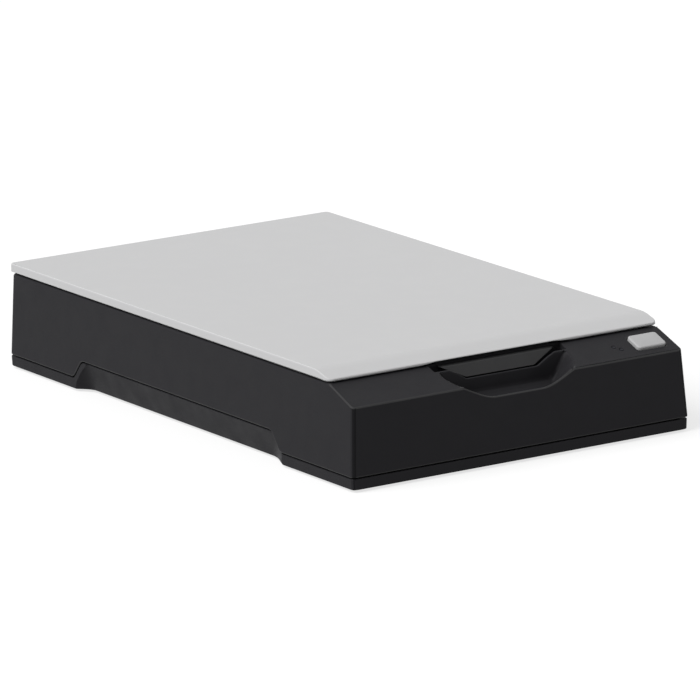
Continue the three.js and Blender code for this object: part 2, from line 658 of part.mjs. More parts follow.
function buttonOutline(grow) {
  const halfWidth = BUTTON_WIDTH / 2 + grow;
  const halfLength = BUTTON_LENGTH / 2 + grow;
  return roundedRectangle([-halfWidth, halfWidth], [-halfLength, halfLength], BUTTON_RADIUS + grow);
}

const LENSES = [
  ["power_lens", -POWER_LENS_LEFT, 0],
  ["status_lens", -STATUS_LENS_LEFT, -STATUS_LENS_DOWN],
];

function windowFrame(grow, z) {
  const half = GLASS_HALF + grow;
  return block([-half, half], [GLASS_FRONT_Y - grow, GLASS_REAR_Y + grow], z);
}

function makeUpperCasing() {
  const outer = upperBody(0, PARTING_Z, 0);
  const inner = upperBody(UPPER_WALL, PARTING_Z - OVERRUN, UPPER_WALL);
  const inside = [notchShape(NOTCH_WALL).intersect(block(
    [-HALF_WIDTH, HALF_WIDTH],
    [FRONT_Y, REAR_Y],
    [PARTING_Z, BASE_TOP_Z],
  ))];
  inside.push(wellShape(-1, WELL_WALL), wellShape(1, WELL_WALL));
  inside.push(windowFrame(GLASS_RIM, [GLASS_BOTTOM_Z, CEILING_Z + SEAT_GAP]));
  const padTop = FLOOR_Z + SCREW_PAD_HEIGHT;
  for (const [, x, y] of SCREW_PLACES) {
    inside.push(upright(COLUMN_RADIUS, x, y, padTop + SEAT_GAP, CEILING_Z + SEAT_GAP));
  }
  const bossTop = -UPPER_WALL / 2;
  const bossLow = -BUTTON_BOARD_DEPTH + SEAT_GAP;
  inside.push(onStrip(upright(BUTTON_BOSS_RADIUS, -BUTTON_BOSS_LEFT, 0, bossLow, bossTop, SMALL_SIDES)));
  const shell = joined([outer.subtract(inner), ...inside.map((piece) => piece.intersect(outer))]);
  const windowHole = roundedRectangle(
    [-WINDOW_HALF, WINDOW_HALF],
    [WINDOW_FRONT_Y, WINDOW_REAR_Y],
    WINDOW_RADIUS,
  );
  const tools = [
    notchShape(0),
    besideParting(0, BOTTOM_Z - OVERRUN),
    upwards(windowHole, [GLASS_BOTTOM_Z - OVERRUN, BASE_TOP_Z + OVERRUN]),
    windowFrame(FIT_GAP, [GLASS_BOTTOM_Z - OVERRUN, LIP_BOTTOM_Z]),
    onStrip(upwards(buttonOutline(FIT_GAP), [-OVERRUN, OVERRUN])),
  ];
  for (const side of [-1, 1]) tools.push(wellShape(side, 0), hingeNotch(side));
  for (const [, x, y] of SCREW_PLACES) {
    const top = BOTTOM_Z + SCREW_HEAD_DEPTH + CASE_SCREW_HEAD_HEIGHT + CASE_SCREW_LENGTH;
    tools.push(upright(CASE_SCREW_RADIUS + SEAT_GAP, x, y, BOTTOM_Z, top + FIT_GAP, SMALL_SIDES));
  }
  for (const [, x, y] of LENSES) {
    tools.push(onStrip(upright(LENS_RADIUS + SEAT_GAP, x, y, -OVERRUN, OVERRUN, SMALL_SIDES)));
  }
  const pilotRadius = SMALL_SCREW_RADIUS + SEAT_GAP;
  const pilotTop = bossTop - UPPER_WALL;
  tools.push(onStrip(
    upright(pilotRadius, -BUTTON_BOSS_LEFT, 0, bossLow - OVERRUN, pilotTop, SMALL_SIDES),
  ));
  const wallSpan = [REAR_INNER_Y - OVERRUN / 2, REAR_Y + OVERRUN];
  const usbHalf = USB_WIDTH / 2 + SOCKET_WINDOW_GAP;
  const usbTop = BOARD_TOP_Z + USB_HEIGHT + SOCKET_WINDOW_GAP;
  const usbLow = BOARD_TOP_Z - SOCKET_WINDOW_GAP;
  tools.push(block([USB_X - usbHalf, USB_X + usbHalf], wallSpan, [usbLow, usbTop]));
  const powerZ = BOARD_TOP_Z + SEAT_GAP + POWER_HEIGHT / 2;
  const powerHole = POWER_BORE_RADIUS + SOCKET_WINDOW_GAP;
  tools.push(bar(powerHole, [POWER_X, wallSpan[0], powerZ], [POWER_X, wallSpan[1], powerZ]));
  return cut(shell, tools);
}
addPiece("upper_casing", makeUpperCasing(), casingBlack());

function sideDraftAt(z) {
  return (SIDE_DRAFT * (z - PARTING_Z)) / (BASE_TOP_Z - PARTING_Z);
}

// The lower shell's outer shape, leaning in over each grip recess
function lowerBody(inset, bottom, top) {
  const outlineAt = (side) => casingOutline(LOWER_SET_IN + side, LOWER_SET_IN, LOWER_SET_IN, inset);
  const solid = loft([
    { outline: outlineAt(LOWER_BOTTOM_LEAN), z: bottom },
    { outline: outlineAt(0), z: PARTING_Z },
    { outline: outlineAt(sideDraftAt(top)), z: top },
  ]);
  return cut(solid, [gripShape(-1, inset), gripShape(1, inset)]);
}

function gripShape(side, inset) {
  const topX = HALF_WIDTH - LOWER_SET_IN - sideDraftAt(GRIP_PARTING_Z) - inset;
  const bottomX = HALF_WIDTH - LOWER_SET_IN - LOWER_BOTTOM_LEAN - GRIP_DEPTH - inset;
  const height = GRIP_PARTING_Z - BOTTOM_Z;
  const leanPerRise = (topX - bottomX) / height;
  const lowZ = BOTTOM_Z - OVERRUN;
  const lowX = bottomX - leanPerRise * OVERRUN;
  const reach = HALF_WIDTH + OVERRUN - lowX;
  const front = FRONT_Y + GRIP_FRONT_FROM_FRONT + GRIP_FRONT_SLOPE - inset;
  const rear = REAR_Y - GRIP_REAR_FROM_REAR - GRIP_REAR_SLOPE + inset;
  const frontOut = front - (GRIP_FRONT_SLOPE / GRIP_DEPTH) * reach;
  const rearOut = rear + (GRIP_REAR_SLOPE / GRIP_DEPTH) * reach;
  const topReach = HALF_WIDTH + OVERRUN - topX;
  const frontTop = front - (GRIP_FRONT_SLOPE / GRIP_DEPTH) * topReach;
  const rearTop = rear + (GRIP_REAR_SLOPE / GRIP_DEPTH) * topReach;
  const outX = side * (HALF_WIDTH + OVERRUN);
  return hull([
    [side * lowX, front, lowZ], [side * lowX, rear, lowZ],
    [outX, frontOut, lowZ], [outX, rearOut, lowZ],
    [side * topX, front, GRIP_PARTING_Z], [side * topX, rear, GRIP_PARTING_Z],
    [outX, frontTop, GRIP_PARTING_Z], [outX, rearTop, GRIP_PARTING_Z],
  ]);
}

function footPlaces() {
  const x = HALF_WIDTH - FOOT_FROM_SIDE;
  const front = FRONT_Y + FOOT_FROM_FRONT;
  const rear = REAR_Y - FOOT_FROM_REAR;
  return [
    ["front_left", -x, front],
    ["front_right", x, front],
    ["rear_left", -x, rear],
    ["rear_right", x, rear],
  ];
}

function axleBoss(x, y, top) {
  const boss = upright(AXLE_RADIUS + AXLE_BOSS_WALL, x, y, FLOOR_Z - FLOOR_THICKNESS / 2, top);
  return boss.subtract(upright(AXLE_RADIUS + SEAT_GAP, x, y, FLOOR_Z, top + OVERRUN));
}

function standoffPlaces() {
  const left = MAIN_BOARD_LEFT + STANDOFF_INSET;
  const right = MAIN_BOARD_RIGHT - STANDOFF_INSET;
  const front = BOARD_FRONT_Y + STANDOFF_INSET;
  const rear = BOARD_REAR_Y - STANDOFF_INSET;
  return [[left, front], [right, front], [left, rear], [right, rear]];
}

function makeLowerCasing() {
  const top = GRIP_PARTING_Z + TONGUE_RISE + OVERRUN;
  const outer = lowerBody(0, BOTTOM_Z, top);
  const tray = outer.subtract(lowerBody(LOWER_WALL, FLOOR_Z, top + OVERRUN));
  const walls = tray.subtract(besideParting(-FIT_GAP, top + OVERRUN));
  const tongueOuter = lowerBody(TONGUE_INSET, FLOOR_Z - SEAT_GAP, top);
  const tongueInner = lowerBody(TONGUE_INSET + TONGUE_THICKNESS, FLOOR_Z - OVERRUN, top + OVERRUN);
  const tongue = tongueOuter.subtract(tongueInner).subtract(besideParting(TONGUE_RISE, top + OVERRUN));
  const solids = [walls, tongue];
  const rootZ = FLOOR_Z - FLOOR_THICKNESS / 2;
  for (const [, x, y] of SCREW_PLACES) {
    solids.push(upright(SCREW_PAD_RADIUS, x, y, rootZ, FLOOR_Z + SCREW_PAD_HEIGHT));
  }
  for (const [x, y] of standoffPlaces()) {
    solids.push(upright(STANDOFF_RADIUS, x, y, rootZ, BOARD_BOTTOM_Z - SEAT_GAP, SMALL_SIDES));
  }
  solids.push(axleBoss(PULLEY_X, DRIVE_Y, PULLEY_BOTTOM_Z - FIT_GAP));
  solids.push(axleBoss(REDUCTION_X, REDUCTION_Y, PULLEY_TOP_Z - FIT_GAP - SEAT_GAP));
  const stopY = tensionSpringRear() + SEAT_GAP;
  solids.push(block(
    [TENSION_SPRING_X - TENSION_EAR_HALF, TENSION_SPRING_X + TENSION_EAR_HALF],
    [stopY, stopY + TENSION_EAR_THICKNESS],
    [rootZ, FLOOR_Z + TENSION_EAR_HEIGHT],
  ));
  const tools = [];
  for (const [, x, y] of SCREW_PLACES) {
    const headTop = BOTTOM_Z + SCREW_HEAD_DEPTH + CASE_SCREW_HEAD_HEIGHT;
    const padTop = FLOOR_Z + SCREW_PAD_HEIGHT;
    tools.push(upright(CASE_SCREW_HEAD_RADIUS + FIT_GAP, x, y, BOTTOM_Z - OVERRUN, headTop + SEAT_GAP));
    tools.push(upright(CASE_SCREW_RADIUS + FIT_GAP, x, y, BOTTOM_Z, padTop + OVERRUN, SMALL_SIDES));
  }
  for (const [, x, y] of footPlaces()) {
    tools.push(upright(FOOT_RADIUS + FIT_GAP, x, y, BOTTOM_Z - OVERRUN, BOTTOM_Z + FOOT_SEAT_DEPTH));
  }
  return cut(joined(solids), tools);
}

function tensionEarFront() {
  return IDLER_Y + IDLER_PLATE_HALF - TENSION_EAR_THICKNESS;
}

function tensionSpringFront() {
  return tensionEarFront() + TENSION_EAR_THICKNESS + SEAT_GAP;
}

function tensionSpringRear() {
  return tensionSpringFront() + TENSION_SPRING_LENGTH;
}
addPiece("lower_casing", makeLowerCasing(), casingBlack());

for (const [place, x, y] of footPlaces()) {
  const sole = upright(FOOT_RADIUS, x, y, 0, BOTTOM_Z + FOOT_SEAT_DEPTH - SEAT_GAP);
  addPiece("foot_" + place, sole, rubber());
}

for (const [place, x, y] of SCREW_PLACES) {
  const headBottom = BOTTOM_Z + SCREW_HEAD_DEPTH;
  const headTop = headBottom + CASE_SCREW_HEAD_HEIGHT;
  const head = upright(CASE_SCREW_HEAD_RADIUS, x, y, headBottom, headTop, SMALL_SIDES);
  const shank = upright(CASE_SCREW_RADIUS, x, y, headBottom, headTop + CASE_SCREW_LENGTH, SMALL_SIDES);
  const recessTop = headBottom + SCREW_HEAD_DEPTH;
  const recess = upright(CASE_SCREW_RADIUS, x, y, headBottom - OVERRUN, recessTop, HEX_SIDES);
  addPiece("casing_screw_" + place, head.add(shank).subtract(recess), steel());
}

// Lid cover: a thin plate with a rim, its front edge bent down to a nose
function lidOutline(inset) {
  const half = LID_HALF_WIDTH - inset;
  const radius = Math.max(LID_CORNER_RADIUS - inset, LID_EDGE_RADIUS / 2);
  return roundedRectangle([-half, half], [LID_FRONT_Y + inset, REAR_Y - inset], radius);
}

function makeLidCover() {
  const shares = Array.from({ length: LID_EDGE_STEPS + 1 }, (_, step) => step / LID_EDGE_STEPS);
  const edge = shares.map((share) => ({
    outline: lidOutline(LID_EDGE_RADIUS * (1 - Math.cos(share * QUARTER_TURN))),
    z: TOTAL_HEIGHT - LID_EDGE_RADIUS * (1 - Math.sin(share * QUARTER_TURN)),
  }));
  const lowZ = LID_BOTTOM_Z - LID_NOSE_DIP;
  const plate = loft([{ outline: lidOutline(0), z: lowZ }, ...edge]);
  const bendY = LID_FRONT_Y + LID_NOSE_LENGTH;
  const curve = Array.from({ length: CURVE_STEPS + 1 }, (_, step) => {
    const share = step / CURVE_STEPS;
    return [bendY - LID_NOSE_LENGTH * share, TOTAL_HEIGHT - LID_NOSE_DROP * share ** 2];
  });
  const endShare = 1 + OVERRUN / LID_NOSE_LENGTH;
  const overNose = [
    ...curve.slice(0, -1),
    [LID_FRONT_Y - OVERRUN, TOTAL_HEIGHT - LID_NOSE_DROP * endShare ** 2],
    [LID_FRONT_Y - OVERRUN, TOTAL_HEIGHT + OVERRUN],
    [bendY, TOTAL_HEIGHT + OVERRUN],
  ];
  const dipPerLength = LID_NOSE_DIP / LID_NOSE_LENGTH;
  const underLid = [
    [REAR_Y + OVERRUN, lowZ - OVERRUN],
    [REAR_Y + OVERRUN, LID_BOTTOM_Z],
    [bendY, LID_BOTTOM_Z],
    [LID_FRONT_Y - OVERRUN, LID_BOTTOM_Z - dipPerLength * (LID_NOSE_LENGTH + OVERRUN)],
    [LID_FRONT_Y - OVERRUN, lowZ - OVERRUN],
  ];
  const across = [-LID_HALF_WIDTH - OVERRUN, LID_HALF_WIDTH + OVERRUN];
  const half = LID_HALF_WIDTH - LID_RIM;
  const pocket = roundedRectangle(
    [-half, half],
    [LID_FRONT_Y + LID_POCKET_FROM_FRONT, REAR_Y - LID_RIM],
    LID_CORNER_RADIUS - LID_RIM,
  );
  const nosePocket = block(
    [-NOSE_POCKET_HALF_WIDTH, NOSE_POCKET_HALF_WIDTH],
    [LID_FRONT_Y + NOSE_RIM, LID_FRONT_Y + LID_POCKET_FROM_FRONT + OVERRUN],
    [lowZ - OVERRUN, lowZ + NOSE_POCKET_DEPTH],
  );
  return cut(plate, [
    sideways(overNose, across),
    sideways(underLid, across),
    upwards(pocket, [lowZ - OVERRUN, TOTAL_HEIGHT - LID_SKIN]),
    nosePocket,
  ]);
}
addPiece("lid_cover", makeLidCover(), lidGrey());

// Lid frame: the black plate inside the cover, with the handle lip in front and two hinge ears behind
function makeHandle() {
  const noseZ = LID_BOTTOM_Z - LID_NOSE_DIP;
  const plateTop = noseZ + NOSE_POCKET_DEPTH - SEAT_GAP;
  const faceTopY = LID_FRONT_Y - HANDLE_FACE_FROM_LID;
  const faceTopZ = LID_BOTTOM_Z - HANDLE_FACE_TOP_DROP;
  const faceBottomY = faceTopY - HANDLE_FACE_LEAN;
  const faceBottomZ = faceTopZ - HANDLE_FACE_HEIGHT;
  const rootY = LID_FRONT_Y + NOSE_RIM + FIT_GAP;
  const outline = [
    [rootY, plateTop],
    [rootY, noseZ - FIT_GAP],
    [LID_FRONT_Y, noseZ - 2 * FIT_GAP],
    [faceTopY, faceTopZ],
    [faceBottomY, faceBottomZ],
    [faceBottomY + HANDLE_THICKNESS, faceBottomZ - FIT_GAP],
    [faceTopY + HANDLE_THICKNESS, faceTopZ],
    [rootY + HANDLE_ROOT_LENGTH, LID_BOTTOM_Z - FIT_GAP],
    [LID_FRONT_Y + LID_POCKET_FROM_FRONT + HANDLE_ROOT_LENGTH, LID_BOTTOM_Z - FIT_GAP],
    [LID_FRONT_Y + LID_POCKET_FROM_FRONT + HANDLE_ROOT_LENGTH, plateTop],
  ];
  const lip = sideways(outline, [-HANDLE_TOP_HALF_WIDTH, HANDLE_TOP_HALF_WIDTH]);
  const sides = [
    [-HANDLE_TOP_HALF_WIDTH, LID_BOTTOM_Z + OVERRUN],
    [-HANDLE_TOP_HALF_WIDTH, faceTopZ],
    [-HANDLE_BOTTOM_HALF_WIDTH, faceBottomZ],
    [-HANDLE_BOTTOM_HALF_WIDTH, faceBottomZ - OVERRUN],
    [HANDLE_BOTTOM_HALF_WIDTH, faceBottomZ - OVERRUN],
    [HANDLE_BOTTOM_HALF_WIDTH, faceBottomZ],
    [HANDLE_TOP_HALF_WIDTH, faceTopZ],
    [HANDLE_TOP_HALF_WIDTH, LID_BOTTOM_Z + OVERRUN],
  ];
  return lip.intersect(lengthways(sides, [FRONT_Y - OVERRUN, 0]));
}

function makeEar(side) {
  const x = side * HINGE_X;
  const low = arc(HINGE_Y, HINGE_Z, EAR_RADIUS, -HALF_TURN, 0, 2 * CURVE_STEPS);
  const outline = [
    ...low,
    [HINGE_Y + EAR_RADIUS, LID_BOTTOM_Z - FIT_GAP],
    [REAR_Y - LID_RIM - FIT_GAP, LID_BOTTOM_Z - FIT_GAP],
    [REAR_Y - LID_RIM - FIT_GAP, LID_BOTTOM_Z + FRAME_THICKNESS / 2],
    [HINGE_Y - EAR_ROOT_LENGTH, LID_BOTTOM_Z + FRAME_THICKNESS / 2],
    [HINGE_Y - EAR_ROOT_LENGTH, LID_BOTTOM_Z],
    [HINGE_Y - EAR_RADIUS, LID_BOTTOM_Z - EAR_RADIUS],
  ];
  const ear = sideways(outline, [x - EAR_HALF_WIDTH, x + EAR_HALF_WIDTH]);
  const hole = HINGE_PIN_RADIUS + PIN_HOLE_GAP;
  return ear.subtract(bar(hole, [x - OVERRUN, HINGE_Y, HINGE_Z], [x + OVERRUN, HINGE_Y, HINGE_Z]));
}

function makeLidFrame() {
  const half = LID_HALF_WIDTH - LID_RIM - FIT_GAP;
  const plate = roundedRectangle(
    [-half, half],
    [LID_FRONT_Y + LID_POCKET_FROM_FRONT + FIT_GAP, REAR_Y - LID_RIM - FIT_GAP],
    LID_CORNER_RADIUS - LID_RIM,
  );
  return joined([
    upwards(plate, [LID_BOTTOM_Z, LID_BOTTOM_Z + FRAME_THICKNESS]),
    makeHandle(),
    makeEar(-1),
    makeEar(1),
  ]);
}
addPiece("lid_frame", makeLidFrame(), casingBlack());

function padBlock(z) {
  const half = WINDOW_HALF - PAD_MARGIN;
  return block([-half, half], [WINDOW_FRONT_Y + PAD_MARGIN, WINDOW_REAR_Y - PAD_MARGIN], z);
}
const SHEET_BOTTOM_Z = GLASS_TOP_Z + SEAT_GAP;
const FOAM_BOTTOM_Z = SHEET_BOTTOM_Z + PAD_SHEET_THICKNESS + SEAT_GAP / 2;
addPiece("pad_sheet", padBlock([SHEET_BOTTOM_Z, SHEET_BOTTOM_Z + PAD_SHEET_THICKNESS]), whitePlastic());
addPiece("pad_foam", padBlock([FOAM_BOTTOM_Z, LID_BOTTOM_Z - SEAT_GAP]), padFoam());

// Hinge posts: each stands in its well and holds the lid's ear between two cheeks
for (const [side, name] of [[-1, "left"], [1, "right"]]) {
  const x = side * HINGE_X;
  const slot = EAR_HALF_WIDTH + FIT_GAP;
  const half = slot + CHEEK_THICKNESS;
  const frontY = HINGE_Y + EAR_RADIUS - CHEEK_LENGTH;
  const shoulderZ = HINGE_Z - NOTCH_BELOW_HINGE;
  const postSpan = [shoulderZ - POST_HEIGHT, shoulderZ + FIT_GAP];
  const post = block([x - half, x + half], [frontY, REAR_INNER_Y - FIT_GAP], postSpan);
  const cheekOutline = [
    [frontY, shoulderZ],
    [HINGE_Y + EAR_RADIUS, shoulderZ],
    [HINGE_Y + EAR_RADIUS, HINGE_Z],
    ...arc(HINGE_Y, HINGE_Z + CHEEK_RISE - EAR_RADIUS, EAR_RADIUS, 0, QUARTER_TURN, CURVE_STEPS),
    [frontY, HINGE_Z + CHEEK_RISE],
  ];
  const cheeks = sideways(cheekOutline, [x - half, x + half]);
  const gapSpan = [shoulderZ + FIT_GAP, TOTAL_HEIGHT];
  const gap = block([x - slot, x + slot], [frontY - OVERRUN, REAR_Y + OVERRUN], gapSpan);
  const pinHalf = half - FIT_GAP;
  const bore = HINGE_PIN_RADIUS + SEAT_GAP / 2;
  const hole = bar(bore, [x - half - OVERRUN, HINGE_Y, HINGE_Z], [x + half + OVERRUN, HINGE_Y, HINGE_Z]);
  addPiece("hinge_post_" + name, cut(post.add(cheeks), [gap, hole]), casingBlack());
  const pin = bar(HINGE_PIN_RADIUS, [x - pinHalf, HINGE_Y, HINGE_Z], [x + pinHalf, HINGE_Y, HINGE_Z]);
  addPiece("hinge_pin_" + name, pin, steel());
}

// Platen glass, its seal and the white calibration strip
addPiece("platen_glass", windowFrame(0, [GLASS_BOTTOM_Z, GLASS_TOP_Z]), clearGlass());
const gasketBottomZ = GLASS_TOP_Z + SEAT_GAP;
const gasketOuter = windowFrame(0, [gasketBottomZ, GASKET_TOP_Z]);
const gasketInner = windowFrame(-GASKET_WIDTH, [gasketBottomZ - OVERRUN, GASKET_TOP_Z + OVERRUN]);
addPiece("glass_gasket", gasketOuter.subtract(gasketInner), rubber());
const calibrationFrontY = GLASS_FRONT_Y + GASKET_WIDTH + FIT_GAP;
addPiece(
  "calibration_strip",
  block(
    [-WINDOW_HALF, WINDOW_HALF],
    [calibrationFrontY, calibrationFrontY + CALIBRATION_WIDTH],
    [gasketBottomZ, GASKET_TOP_Z - SEAT_GAP],
  ),
  whitePlastic(),
);

// Scan button and what lies under it, in the strip's own frame
function makeButton() {
  const flangeTop = -UPPER_WALL - SEAT_GAP;
  const flangeBottom = flangeTop - BUTTON_FLANGE_THICKNESS;
  const cap = loft([
    { outline: buttonOutline(0), z: flangeBottom },
    { outline: buttonOutline(0), z: BUTTON_PROUD - BUTTON_CROWN },
    { outline: buttonOutline(-BUTTON_CROWN), z: BUTTON_PROUD },
  ]);
  const flange = upwards(buttonOutline(BUTTON_FLANGE), [flangeBottom, flangeTop]);
  const stemLow = -BUTTON_BOARD_DEPTH + SWITCH_HEIGHT + 2 * SEAT_GAP + BUTTON_TRAVEL;
  const stem = upright(BUTTON_STEM_RADIUS, 0, 0, stemLow, flangeTop, SMALL_SIDES);
  return joined([cap, flange, stem]);
}
addPiece("scan_button", makeButton(), keyGrey(), strip);
const springInner = SWITCH_SIZE / Math.SQRT2 + FIT_GAP;
addPiece(
  "button_spring",
  ring(
    springInner,
    springInner + BUTTON_SPRING_WIRE,
    0,
    0,
    -BUTTON_BOARD_DEPTH + SEAT_GAP,
    -UPPER_WALL - BUTTON_FLANGE_THICKNESS - 2 * SEAT_GAP,
    SMALL_SIDES,
  ),
  steel(),
  strip,
);

for (const [name, x, y] of LENSES) {
  const lens = upright(LENS_RADIUS, x, y, LENS_PROUD - LENS_LENGTH, LENS_PROUD, SMALL_SIDES);
  addPiece(name, lens, lensBlue(), strip);
}

function makeButtonBoard() {
  const top = -BUTTON_BOARD_DEPTH;
  const plate = block(
    [-BUTTON_BOARD_LEFT, BUTTON_BOARD_RIGHT],
    [-BUTTON_BOARD_HALF_LENGTH, BUTTON_BOARD_HALF_LENGTH],
    [top - BOARD_THICKNESS, top],
  );
  const lamps = LENSES.map(([, x, y]) => block(
    [x - LED_SIZE / 2, x + LED_SIZE / 2],
    [y - LED_SIZE / 2, y + LED_SIZE / 2],
    [top - BOARD_THICKNESS / 2, top + LED_HEIGHT],
  ));
  const holeRadius = SMALL_SCREW_RADIUS + SEAT_GAP;
  const hole = upright(holeRadius, -BUTTON_BOSS_LEFT, 0, top - OVERRUN, top + OVERRUN, SMALL_SIDES);
  return joined([plate, ...lamps]).subtract(hole);
}
addPiece("button_board", makeButtonBoard(), board(), strip);

function smallScrew(x, y, headBottom, length, downwards = true) {
  const way = downwards ? -1 : 1;
  const headEnd = headBottom - way * SMALL_SCREW_HEAD_HEIGHT;
  const lows = [Math.min(headBottom, headEnd), Math.max(headBottom, headEnd)];
  const head = upright(SMALL_SCREW_HEAD_RADIUS, x, y, lows[0], lows[1], SMALL_SIDES);
  const tip = headBottom + way * length;
  const shankEnds = [Math.min(headEnd, tip), Math.max(headEnd, tip)];
  return head.add(upright(SMALL_SCREW_RADIUS, x, y, shankEnds[0], shankEnds[1], SMALL_SIDES));
}
addPiece(
  "button_board_screw",
  smallScrew(
    -BUTTON_BOSS_LEFT,
    0,
    -BUTTON_BOARD_DEPTH - BOARD_THICKNESS - SEAT_GAP,
    BUTTON_BOARD_DEPTH - UPPER_WALL,
    false,
  ),
  steel(),
  strip,
);
const switchBottom = -BUTTON_BOARD_DEPTH + SEAT_GAP;
addPiece(
  "tact_switch",
  block(
    [-SWITCH_SIZE / 2, SWITCH_SIZE / 2],
    [-SWITCH_SIZE / 2, SWITCH_SIZE / 2],
    [switchBottom, switchBottom + SWITCH_HEIGHT],
  ),
  darkPlastic(),
  strip,
);

// Image sensor: housing with a channel for the light guide and one for the rod lenses
const CHANNEL_TOP_Z = SENSOR_TOP_Z - SENSOR_PANE_THICKNESS;
const CHANNEL_BOTTOM_Z = CHANNEL_TOP_Z - SENSOR_CHANNEL_DEPTH;

function sensorBar(halfWidth, y, z) {
  return block([-halfWidth, halfWidth], [SENSOR_Y + y[0], SENSOR_Y + y[1]], z);
}

function lensArraySpan(gap) {
  const half = LENS_ARRAY_DEPTH / 2 + gap;
  return [LENS_ARRAY_BACK - half, LENS_ARRAY_BACK + half];
}

function lightGuideSpan(gap) {
  const half = LIGHT_GUIDE_DEPTH / 2 + gap;
  return [-LIGHT_GUIDE_FRONT - half, -LIGHT_GUIDE_FRONT + half];
}

function makeSensorHousing() {
  const paneHalfDepth = SENSOR_PANE_DEPTH / 2 + SEAT_GAP;
  const high = SENSOR_TOP_Z + OVERRUN;
  const guideLow = CHANNEL_TOP_Z - LIGHT_GUIDE_HEIGHT - FIT_GAP;
  const halfDepth = SENSOR_DEPTH / 2;
  const body = sensorBar(SENSOR_HALF, [-halfDepth, halfDepth], [SENSOR_BOTTOM_Z, SENSOR_TOP_Z]);
  const tools = [
    sensorBar(WINDOW_HALF + SEAT_GAP, [-paneHalfDepth, paneHalfDepth], [CHANNEL_TOP_Z - SEAT_GAP, high]),
    sensorBar(WINDOW_HALF, lensArraySpan(SEAT_GAP), [CHANNEL_BOTTOM_Z, high]),
    sensorBar(WINDOW_HALF, lightGuideSpan(SEAT_GAP), [guideLow, high]),
  ];
  for (const side of [-1, 1]) {
    const x = side * SPRING_FROM_CENTRE;
    const top = SENSOR_BOTTOM_Z + SPRING_POCKET_DEPTH;
    tools.push(upright(SENSOR_SPRING_RADIUS + FIT_GAP, x, SENSOR_Y, SENSOR_BOTTOM_Z - OVERRUN, top));
  }
  return cut(body, tools);
}
addPiece("sensor_housing", makeSensorHousing(), darkPlastic());
addPiece(
  "sensor_window",
  sensorBar(WINDOW_HALF, [-SENSOR_PANE_DEPTH / 2, SENSOR_PANE_DEPTH / 2], [CHANNEL_TOP_Z, SENSOR_TOP_Z]),
  clearGlass(),
);
const arrayBottom = CHANNEL_BOTTOM_Z + SEAT_GAP;
addPiece(
  "rod_lens_array",
  sensorBar(WINDOW_HALF - FIT_GAP, lensArraySpan(0), [arrayBottom, arrayBottom + LENS_ARRAY_HEIGHT]),
  clearGlass(),
);
const guideTop = CHANNEL_TOP_Z - 2 * SEAT_GAP;
addPiece(
  "light_guide",
  sensorBar(WINDOW_HALF - FIT_GAP, lightGuideSpan(0), [guideTop - LIGHT_GUIDE_HEIGHT, guideTop]),
  clearGlass(),
);
for (const [side, name] of [[-1, "left"], [1, "right"]]) {
  const outX = side * (SENSOR_HALF - FIT_GAP);
  const inX = outX - side * SLIDER_WIDTH;
  const foot = SENSOR_TOP_Z + SEAT_GAP;
  const crown = GLASS_BOTTOM_Z - SEAT_GAP;
  const outline = [
    [SENSOR_Y - SLIDER_LENGTH / 2, foot],
    [SENSOR_Y + SLIDER_LENGTH / 2, foot],
    [SENSOR_Y + SLIDER_LENGTH / 4, crown],
    [SENSOR_Y - SLIDER_LENGTH / 4, crown],
  ];
  const slider = sideways(outline, [Math.min(inX, outX), Math.max(inX, outX)]);
  addPiece("sensor_slider_" + name, slider, whitePlastic());
  const spring = ring(
    SENSOR_SPRING_RADIUS - SENSOR_SPRING_WIRE,
    SENSOR_SPRING_RADIUS,
    side * SPRING_FROM_CENTRE,
    SENSOR_Y,
    PLATE_TOP_Z + SEAT_GAP,
    SENSOR_BOTTOM_Z + SPRING_POCKET_DEPTH - SEAT_GAP,
    SMALL_SIDES,
  );
  addPiece("sensor_spring_" + name, spring, steel());
}

